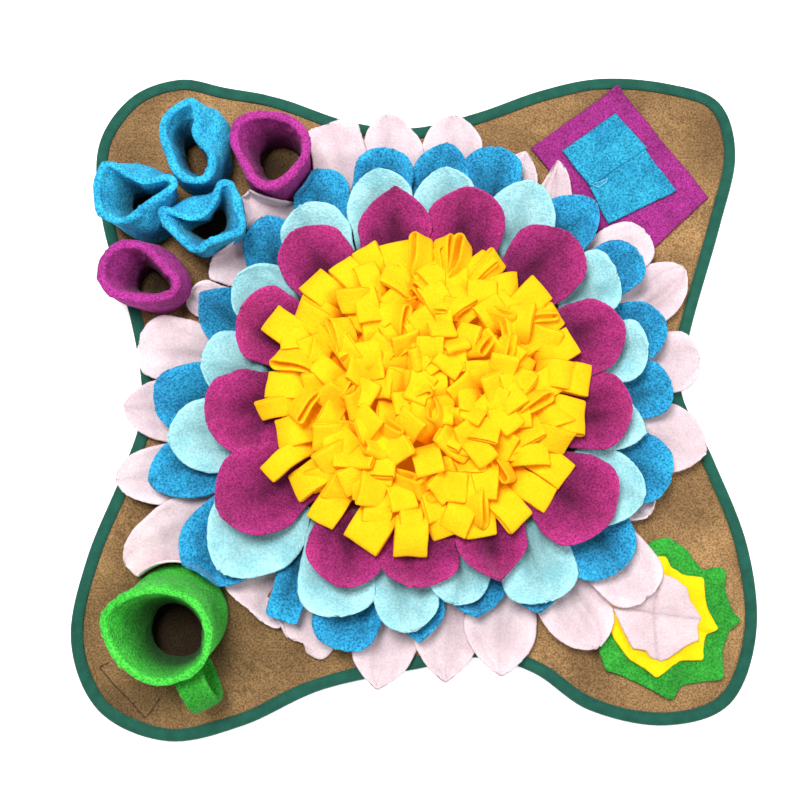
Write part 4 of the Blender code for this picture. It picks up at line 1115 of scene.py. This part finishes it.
def strip_grid(end, outward, reach, slope, wide, roll, belly, seed):
    """Mid-surface of one strip folded into a loop: up one side, round its fold and down again.

    end is the fold end's place and outward the level direction in which it points.
    """
    slope, roll = math.radians(slope), math.radians(roll)
    side = left_of(outward)
    root = end - outward * reach
    from_middle = root - FLOWER
    from_middle[2] = 0.0
    away = np.linalg.norm(from_middle)
    root = FLOWER + from_middle * min(1.0, (BACKING_R - ROOTS_IN) / max(away, 1.0))
    root[2] = SEWN_ON + BACKING_THICK
    laid = outward * math.cos(slope) - UP * math.sin(slope)
    high = end[2] - root[2]
    knots = (root, root + UP * high * 0.72, end - laid * reach * 0.95 + UP * high * 0.05, end)
    share = np.linspace(0, 1, STRIP_ALONG)[:, None]
    path = ((1 - share) ** 3 * knots[0] + 3 * (1 - share) ** 2 * share * knots[1]
            + 3 * (1 - share) * share ** 2 * knots[2] + share ** 3 * knots[3])
    heading = unit(np.gradient(path, axis=0))
    turn = roll * smooth(share)
    across = unit(side - heading * (heading @ side)[:, None])
    across = np.cos(turn) * across + np.sin(turn) * np.cross(heading, across)
    through = np.cross(across, heading)
    bellies = 0.9 + (belly - 0.9) * smooth((share[:, 0] - 0.45) / 0.4)
    lines = []
    for step in range(STRIP_ALONG):
        lines.append((path[step] - through[step] * bellies[step], across[step], share[step, 0]))
    for angle in np.linspace(-math.pi / 2, math.pi / 2, FOLD_STEPS)[1:-1]:
        bulge = belly * (math.cos(angle) * heading[-1] + math.sin(angle) * through[-1])
        lines.append((path[-1] + bulge, across[-1], 1.0))
    for step in reversed(range(STRIP_ALONG)):
        lines.append((path[step] + through[step] * bellies[step], across[step], share[step, 0]))
    columns = np.linspace(-0.5, 0.5, STRIP_ACROSS)
    grid = np.array([[place + line * column * wide * (0.78 + 0.22 * smooth(grown / 0.5))
                      for column in columns] for place, line, grown in lines])
    loose = smooth((grid[..., 2] - 20) / 20)
    offset = np.stack([grain(grid, 15, seed + axis * 7.3) for axis in range(3)], -1)
    return grid + offset * (1.2 * loose)[..., None]


def strip_places(dice):
    """Every strip's fold end, direction, reach, slope, width, roll and belly."""
    places = []
    for away, count, most_turn, slope, reach, drop in STRIP_ROWS:
        first = dice.uniform(0, 360)
        for number in range(count):
            bearing = first + 360 * (number + dice.uniform(-0.34, 0.34)) / count
            radius = away + dice.uniform(-ROW_SCATTER, ROW_SCATTER)
            turn = dice.uniform(-1, 1) * most_turn
            high = dome(radius) - drop + dice.uniform(-ROW_UNEVEN, ROW_UNEVEN)
            end = FLOWER + polar(bearing, radius, high)
            edge_on = dice.random() < EDGE_ON
            roll = dice.choice((-1, 1)) * (dice.uniform(45, 65) if edge_on else dice.uniform(0, 36))
            slant = slope + dice.uniform(-1, 1) * STRIP_SLOPE_SPREAD
            places.append((end, polar(bearing + turn, 1), reach, slant, dice.uniform(19, 26),
                           roll, dice.uniform(3.0, 4.5) if edge_on else dice.uniform(1.1, 2.6)))
    for strip in RIM_STRIPS:
        reach = strip.reach - 4 + dice.uniform(-4, 4)
        end = FLOWER + polar(strip.bearing, reach, dome(reach) + dice.uniform(-5, 5))
        outward = polar(strip.bearing + strip.turn + dice.uniform(-9, 9), 1)
        places.append((end, outward, 34, dice.uniform(4, 34), strip.width,
                       strip.roll + dice.uniform(-16, 16), strip.open))
    return places


def build_strips(cloth):
    for number, place in enumerate(strip_places(random.Random(STRIP_SEED)), 1):
        grid = strip_grid(*place, number * 3.1)
        # Painted shade: the deeper a point lies below the dome of fold ends, the darker and more orange it
        # is painted.
        below = dome(np.linalg.norm((grid - FLOWER)[..., :2], axis=-1)) - grid[..., 2]
        nap_and_painted_light = 1.0 - 0.9 * smooth((below - 4) / 18)
        thing = cloth_from_grid(f"yellow_strip_{number:03d}", grid, STRIP_THICK, cloth["yellow_fleece"],
                                nap_and_painted_light, STRIP_EDGE_PAINTED_SHADE)
        stand_for("yellow_loops")


def build_backing(cloth):
    """The round of fleece that the strips are sewn to."""
    turns = np.linspace(0, 360, BACKING_ROUND, endpoint=False)
    grid = np.array([[FLOWER + polar(turn, BACKING_R * reach, SEWN_ON + BACKING_THICK * height)
                      for turn in turns] for reach, height in BACKING_PROFILE])
    thing = make_object("yellow_backing", grid, tube_faces(*grid.shape[:2]), cloth["yellow_fleece"])


# ---- cups, mug and handle ------------------------------------------------------------------------
def at_bearings(knots, angles):
    """Points of a closed curve in the directions of the angles, seen from its own middle."""
    line = closed_curve(knots, CURVE_STEPS)
    middle = line.mean(axis=0)
    bearings = np.arctan2(line[:, 1] - middle[1], line[:, 0] - middle[0])
    order = np.argsort(bearings)
    radii = np.linalg.norm(line - middle, axis=1)
    radius = np.interp(angles, bearings[order], radii[order], period=math.tau)
    return middle + radius[:, None] * np.stack((np.cos(angles), np.sin(angles)), 1)


def cup_lines(cup):
    """Lines round a cup as seen from above: its foot, belly, lip and the hollow's edge."""
    rim = spread_evenly(closed_curve(cup["rim"], CURVE_STEPS), CUP_ROUND)
    middle = rim.mean(axis=0)
    turns = np.unwrap(np.arctan2(rim[:, 1] - middle[1], rim[:, 0] - middle[0]))
    even = turns[0] + np.linspace(0, math.tau, CUP_ROUND, endpoint=False)
    blend = np.clip(0.5 * turns + 0.5 * even, even - 0.6, even + 0.6)
    foot_middle = np.array(cup["foot"], dtype=float)
    foot = foot_middle + cup["foot_r"] * np.stack((np.cos(blend), np.sin(blend)), 1)
    hollow = at_bearings(cup["hollow"], blend)
    belly = at_bearings(cup["belly"], blend) if "belly" in cup else 0.45 * foot + 0.55 * rim
    spoke = hollow - foot_middle
    most = cup["foot_r"] - cup["wall"] - 0.5
    away = np.linalg.norm(spoke, axis=1)
    hollow = foot_middle + spoke * np.minimum(1.0, most / away)[:, None]
    return foot, belly, rim, hollow


def cup_rings(cup):
    """Rings of points up a cup's outside, over its lip and down its inside to the mat."""
    foot, belly, rim, hollow = cup_lines(cup)
    fat = cup["lip"] / 2
    lip_base = cup["height"] - fat
    lean = outward_of(rim)
    shoulder = rim + lean * fat * math.cos(LIP_START)
    shoulder_z = lip_base + fat * math.sin(LIP_START)
    rings = []
    for climb in np.linspace(0, 1, CUP_WALL_ROWS):
        if climb < BELLY_AT:
            line = foot + (belly - foot) * smooth(climb / BELLY_AT)
        else:
            above = (climb - BELLY_AT) / (1 - BELLY_AT)
            line = belly + (shoulder - belly) * (1 - math.cos(above * math.pi / 2))
        rings.append((line, SEWN_ON + (shoulder_z - SEWN_ON) * climb))
    for turn in np.linspace(LIP_START, LIP_ARC, CUP_LIP_ROWS + 2)[1:]:
        rings.append((rim + lean * fat * math.cos(turn), lip_base + fat * math.sin(turn)))
    inner, inner_top = rings.pop()
    for drop in np.linspace(0, 1, CUP_INNER_ROWS):
        share = 0.55 * drop + 0.45 * smooth(drop)
        rings.append((inner + (hollow - inner) * share, inner_top + (cup["hollow_z"] - inner_top) * drop))
    middle = np.array(cup["foot"])
    floor_line = middle + (foot - middle) * (1 - cup["wall"] / cup["foot_r"])
    for drop in (0.35, 0.7, 1.0):
        rings.append((hollow + (floor_line - hollow) * smooth(drop),
                      cup["hollow_z"] * (1 - drop) + SEWN_ON * drop))
    return np.array([at_height(line, level) for line, level in rings])


def build_cup(cup, cloth):
    """A soft doubled wall with a fat rolled lip, leaning in to a narrower hollow."""
    grid = cup_rings(cup)
    seed = float(len(cup["name"]) + cup["foot"][0])
    sag = CUP_SAG * grain(grid * LEVEL, 26, seed)
    grid[..., 2] += sag * smooth((grid[..., 2] - 25) / 30)
    lumps = CUP_LUMP * grain(grid, 18, seed) + CUP_DENT * grain(grid, 6, 2.0)
    folds = CUP_FOLD * np.maximum(grain(grid * (1, 1, 0.35), 8, seed + 40), 0.0)
    pleats = 1.0 - np.minimum(np.abs(grain(grid * (1, 1, 0.25), 17, seed + 70)) / 0.10, 1.0)
    folds += CUP_PLEAT * pleats ** 2 * smooth((grid[..., 2] - 20) / 20)
    # Painted shade: the inside is painted darker the deeper it goes, and the outside a little lighter
    # towards the lip.
    climbed = smooth((grid[..., 2] - 12) / (cup["height"] - 16))
    outside = np.arange(len(grid))[:, None] < CUP_WALL_ROWS + CUP_LIP_ROWS
    nap_and_painted_light = np.where(outside, 0.80 + 0.20 * climbed, climbed ** 4)
    loose = smooth((grid[..., 2] - SEWN_ON) / 12)
    normals = normals_of(grid, wrap=True)
    grid = grid - normals * ((lumps - folds) * loose)[..., None]
    name = f"{cup['name']}_cloth"
    thing = make_object(name, grid, ring_faces(*grid.shape[:2]), cloth[cup["cloth"]], nap_and_painted_light)
    stand_for(cup["name"])


def build_handle(cloth):
    """A folded strap bent into a D, with grooves along it."""
    mug = CUPS[-1]
    outward = polar(HANDLE_BEARING, 1)
    side = left_of(outward)
    rim = closed_curve(mug["rim"], 4).mean(axis=0)
    foot = np.array(mug["foot"], dtype=float)
    middle_height = (HANDLE_LOW + HANDLE_HIGH) / 2
    half_height = (HANDLE_HIGH - HANDLE_LOW) / 2
    grid = []
    for angle in np.linspace(-math.pi / 2, math.pi / 2, HANDLE_STEPS):
        height = middle_height + half_height * math.sin(angle)
        climb = height / mug["height"]
        bulge = HANDLE_OUT * max(math.cos(angle), 0.0) ** HANDLE_SQUARENESS
        wall = foot + (rim - foot) * climb
        place = np.array((*wall, height)) + outward * (mug["foot_r"] - 1.0 + bulge)
        heading = UP * math.cos(angle) - outward * math.sin(angle)
        through = unit(np.cross(side, heading))
        ring = []
        for turn in np.linspace(0, math.tau, HANDLE_ROUND, endpoint=False):
            wide = math.copysign(abs(math.cos(turn)) ** 0.5, math.cos(turn)) * HANDLE_WIDE / 2
            deep = math.copysign(abs(math.sin(turn)) ** 0.6, math.sin(turn)) * HANDLE_THICK / 2
            groove = 0.5 * math.cos(wide / HANDLE_WIDE * math.tau * HANDLE_RIDGES)
            deep += math.copysign(groove, deep) * min(abs(deep), 1.0)
            ring.append(place + side * wide + through * deep)
        grid.append(ring)
    grid = np.array(grid)
    grid = grid + normals_of(grid, wrap=True) * (0.5 * grain(grid, 8, 4.0))[..., None]
    thing = make_object("green_mug_strap", grid, tube_faces(*grid.shape[:2]), cloth["green_fleece"])
    stand_for("green_mug_handle")


# ---- patch, flaps and stars ----------------------------------------------------------------------
def four_sided(corners, height_at, columns, rows, seed):
    """Mid-surface of a cut piece between four corners, slightly uneven along its edges."""
    corners = np.array([(*corner, 0.0) for corner in corners])
    u, v = np.meshgrid(np.linspace(0, 1, columns), np.linspace(0, 1, rows))
    grid = (corners[0] * ((1 - u) * (1 - v))[..., None] + corners[1] * (u * (1 - v))[..., None]
            + corners[2] * (u * v)[..., None] + corners[3] * ((1 - u) * v)[..., None])
    near_edge = np.maximum(np.abs(2 * u - 1), np.abs(2 * v - 1)) ** 4
    for axis in range(2):
        grid[..., axis] += CUT_WAVY * grain(grid, 24, seed + axis * 5) * near_edge
        grid[..., axis] += CUT_JAGGED * grain(grid, 3, seed + axis * 7) * near_edge
    grid[..., 2] = height_at(u, v, grid) + CUT_UNEVEN * grain(grid, 16, seed)
    return grid


def lay_piece(node, slot, grid, cloth):
    """A flat piece of fleece, laid on the one below it."""
    thing = cloth_from_grid(f"{node}_cloth", grid, FLEECE, cloth[slot])
    stand_for(node)


def build_patch(cloth):
    level = SEWN_ON + FLEECE / 2
    loop, _ = edge_outline()

    def height_at(u, v, grid):
        to_edge = np.full(grid.shape[:2], np.inf)
        for place in loop:
            to_edge = np.minimum(to_edge, np.linalg.norm(grid[..., :2] - place[:2], axis=-1))
        over_tape = smooth((TAPE_FACE + PATCH_OVER_TAPE - to_edge) / PATCH_OVER_TAPE)
        crumpled = 0.8 * np.maximum(np.abs(2 * u - 1), np.abs(2 * v - 1)) ** 6
        return level + PATCH_LIFT_AT_TAPE * over_tape + crumpled

    grid = four_sided(PATCH, height_at, *PATCH_GRID, 2.0)
    lay_piece("purple_patch", "magenta_fleece", grid, cloth)


def build_flap(flap, cloth):
    level = SEWN_ON + FLEECE + CLEAR + FLEECE / 2 + 0.5

    def height_at(u, v, grid):
        open_share = 1 - v if flap["open"] else v
        return level + flap["lift"] * open_share ** 3 + 0.5 * np.abs(2 * u - 1) ** 4

    grid = four_sided(flap["corners"], height_at, *FLAP_GRID, flap["corners"][0][0] * 0.1)
    lay_piece(flap["name"], "bright_blue_fleece", grid, cloth)


def build_loose_thread(cloth):
    """A short end of sewing thread lying on the lower flap."""
    knots = np.array(LOOSE_THREAD, dtype=float)
    share = np.linspace(0, len(knots) - 1, 6 * len(knots))
    line = np.stack([np.interp(share, range(len(knots)), knots[:, axis]) for axis in range(2)], 1)
    line = softened(line, 3)
    grid = []
    for step, place in enumerate(line):
        ahead = line[min(step + 1, len(line) - 1)] - line[max(step - 1, 0)]
        side = left_of(ahead) / max(np.linalg.norm(ahead), 1e-6)
        middle = np.array((*place, LOOSE_THREAD_Z + 0.8 * math.sin(step * 0.5)))
        grid.append([middle + (side * math.cos(turn) + UP * math.sin(turn)) * LOOSE_THREAD_R
                     for turn in np.linspace(0, math.tau, 6, endpoint=False)])
    grid = np.array(grid)
    thing = make_object("flap_thread", grid, tube_faces(*grid.shape[:2]), cloth["pale_thread"])


def star_outline(star, steps=8):
    """The layer's outline: nearly straight cuts between its points and hollows."""
    knots = np.array(star["outline"], dtype=float)
    loop = []
    for index, here in enumerate(knots):
        after = knots[(index + 1) % len(knots)]
        loop += [here + (after - here) * step / steps for step in range(steps)]
    loop = spread_evenly(np.array(loop), STAR_ROUND)
    return (np.roll(loop, 1, axis=0) + 2 * loop + np.roll(loop, -1, axis=0)) / 4


def build_star(layer, star, cloth):
    loop = star_outline(star)
    base = SEWN_ON + layer * (FLEECE + STAR_GAP) + FLEECE / 2
    middle = np.array(STAR_MIDDLE, dtype=float)
    spokes = loop - middle
    reach = np.linalg.norm(spokes, axis=1)
    around = np.convolve(np.tile(reach, 3), np.ones(25) / 25, "same")[len(reach):2 * len(reach)]
    tips = np.clip((reach - around) / 6 + 0.35, 0.0, 1.0)
    shares = np.linspace(STAR_HOLE, 1.0, STAR_RINGS)[:, None]
    heights = base + star["rise"] * tips * smooth((shares - 0.45) / 0.55)
    grid = np.array([at_height(middle + spokes * share, height) for share, height in zip(shares, heights)])
    free = smooth((shares - 0.35) / 0.5)
    grid[..., 2] += (0.8 * free + 0.2) * (0.9 * grain(grid * LEVEL, 17, layer * 4.0) + 0.5)
    fray = np.clip((shares - 0.96) / 0.04, 0.0, 1.0)
    grid[..., :2] += unit(grid[..., :2] - middle) * (STAR_RAGGED * grain(grid, 2.5, layer) * fray)[..., None]
    # Painted shade: each layer is darker towards the middle, under the layers above, and lighter at its
    # raised points.
    nap_and_painted_light = 0.15 + 0.85 * smooth((shares - 0.55) / 0.45) * (0.6 + 0.4 * tips)
    if star["name"] == "star_pink":
        off = np.min([distance_to_line(grid, *seam) for seam in STAR_SEAMS], axis=0)
        grid[..., 2] += QUARTER_HIGH * smooth(off / 12) - SEAM_DEEP * np.exp(-(off / SEAM_WIDE) ** 2)
        # Painted shade along the pink layer's seams.
        nap_and_painted_light = 0.60 - 0.60 * np.exp(-(off / SEAM_WIDE) ** 2)
    normals = normals_of(grid, wrap=True)
    normals[normals[..., 2] < 0] *= -1
    inward = np.zeros_like(grid)
    inward[-1] = unit(grid[-2] - grid[-1]) * 0.3 * FLEECE
    top = grid + normals * FLEECE / 2 + inward
    under = grid - normals * FLEECE / 2 + inward
    rim = grid[-1] - inward[-1] * 0.4
    shell = np.concatenate((top, rim[None], under[::-1]))
    thing = make_object(f"{star['name']}_cloth", shell, tube_faces(*shell.shape[:2]),
                        cloth[star["cloth"]], np.concatenate((nap_and_painted_light, nap_and_painted_light[-1:], nap_and_painted_light[::-1])))
    stand_for(star["name"])


# ---- stage ---------------------------------------------------------------------------------------
def build_stage():
    mesh = bpy.data.meshes.new("floor")
    corners = [(FLOOR_WIDE * x, FLOOR_WIDE * y, 0) for x, y in ((-1, -1), (1, -1), (1, 1), (-1, 1))]
    mesh.from_pydata(corners, [], [(0, 1, 2, 3)])
    mesh.materials.append(plain_floor())
    floor = bpy.data.objects.new("floor", mesh)
    floor.location.z = -0.0005
    bpy.context.scene.collection.objects.link(floor)
    world = bpy.data.worlds.new("studio")
    world.use_nodes = True
    world.node_tree.nodes["Background"].inputs["Color"].default_value = (1.0, 1.0, 1.0, 1.0)
    world.node_tree.nodes["Background"].inputs["Strength"].default_value = WORLD_LIGHT
    bpy.context.scene.world = world
    for name, place, size, power in LAMPS:
        lamp = bpy.data.lights.new(name, "AREA")
        lamp.size = size
        lamp.energy = power
        thing = bpy.data.objects.new(name, lamp)
        thing.location = place
        thing.rotation_euler = (-Vector(place)).to_track_quat("-Z", "Y").to_euler()
        bpy.context.scene.collection.objects.link(thing)
    bpy.context.scene.view_settings.view_transform = "Standard"


def build_camera():
    tilt = math.radians(CAMERA_TILT)
    target = np.array(CAMERA_TARGET) + SHIFT
    place = target + CAMERA_AWAY * np.array((0.0, -math.sin(tilt), math.cos(tilt)))
    data = bpy.data.cameras.new("camera")
    data.lens = LENS_MM
    data.sensor_width = SENSOR_MM
    data.clip_start = 0.01
    camera = bpy.data.objects.new("camera", data)
    camera.location = place * METRES
    camera.rotation_euler = (tilt, 0.0, 0.0)
    bpy.context.scene.collection.objects.link(camera)
    bpy.context.scene.camera = camera


def packed_shift():
    """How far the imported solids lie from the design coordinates, from the tape's box."""
    low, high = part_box("edge_binding")
    loop = closed_curve(EDGE, 2)
    middle = (np.array(low[:2]) + np.array(high[:2])) / 2 / METRES
    return np.array((*(middle - (loop.min(axis=0) + loop.max(axis=0)) / 2), 0.0))


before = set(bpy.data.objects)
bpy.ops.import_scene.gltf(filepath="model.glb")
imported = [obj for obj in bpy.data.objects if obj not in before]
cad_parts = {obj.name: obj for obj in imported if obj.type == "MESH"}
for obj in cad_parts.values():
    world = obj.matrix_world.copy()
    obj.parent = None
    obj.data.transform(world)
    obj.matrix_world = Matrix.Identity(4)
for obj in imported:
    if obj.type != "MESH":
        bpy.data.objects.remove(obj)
SHIFT = packed_shift()
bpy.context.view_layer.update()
cloth = make_materials()
build_camera()
build_stage()
build_base(cloth)
build_crease(cloth)
build_tape(cloth)
build_binding_stitches(cloth)
build_petals(cloth)
build_strips(cloth)
build_backing(cloth)
for cup in CUPS:
    build_cup(cup, cloth)
build_handle(cloth)
build_patch(cloth)
for flap in FLAPS:
    build_flap(flap, cloth)
build_loose_thread(cloth)
for layer, star in enumerate(STARS):
    build_star(layer, star, cloth)
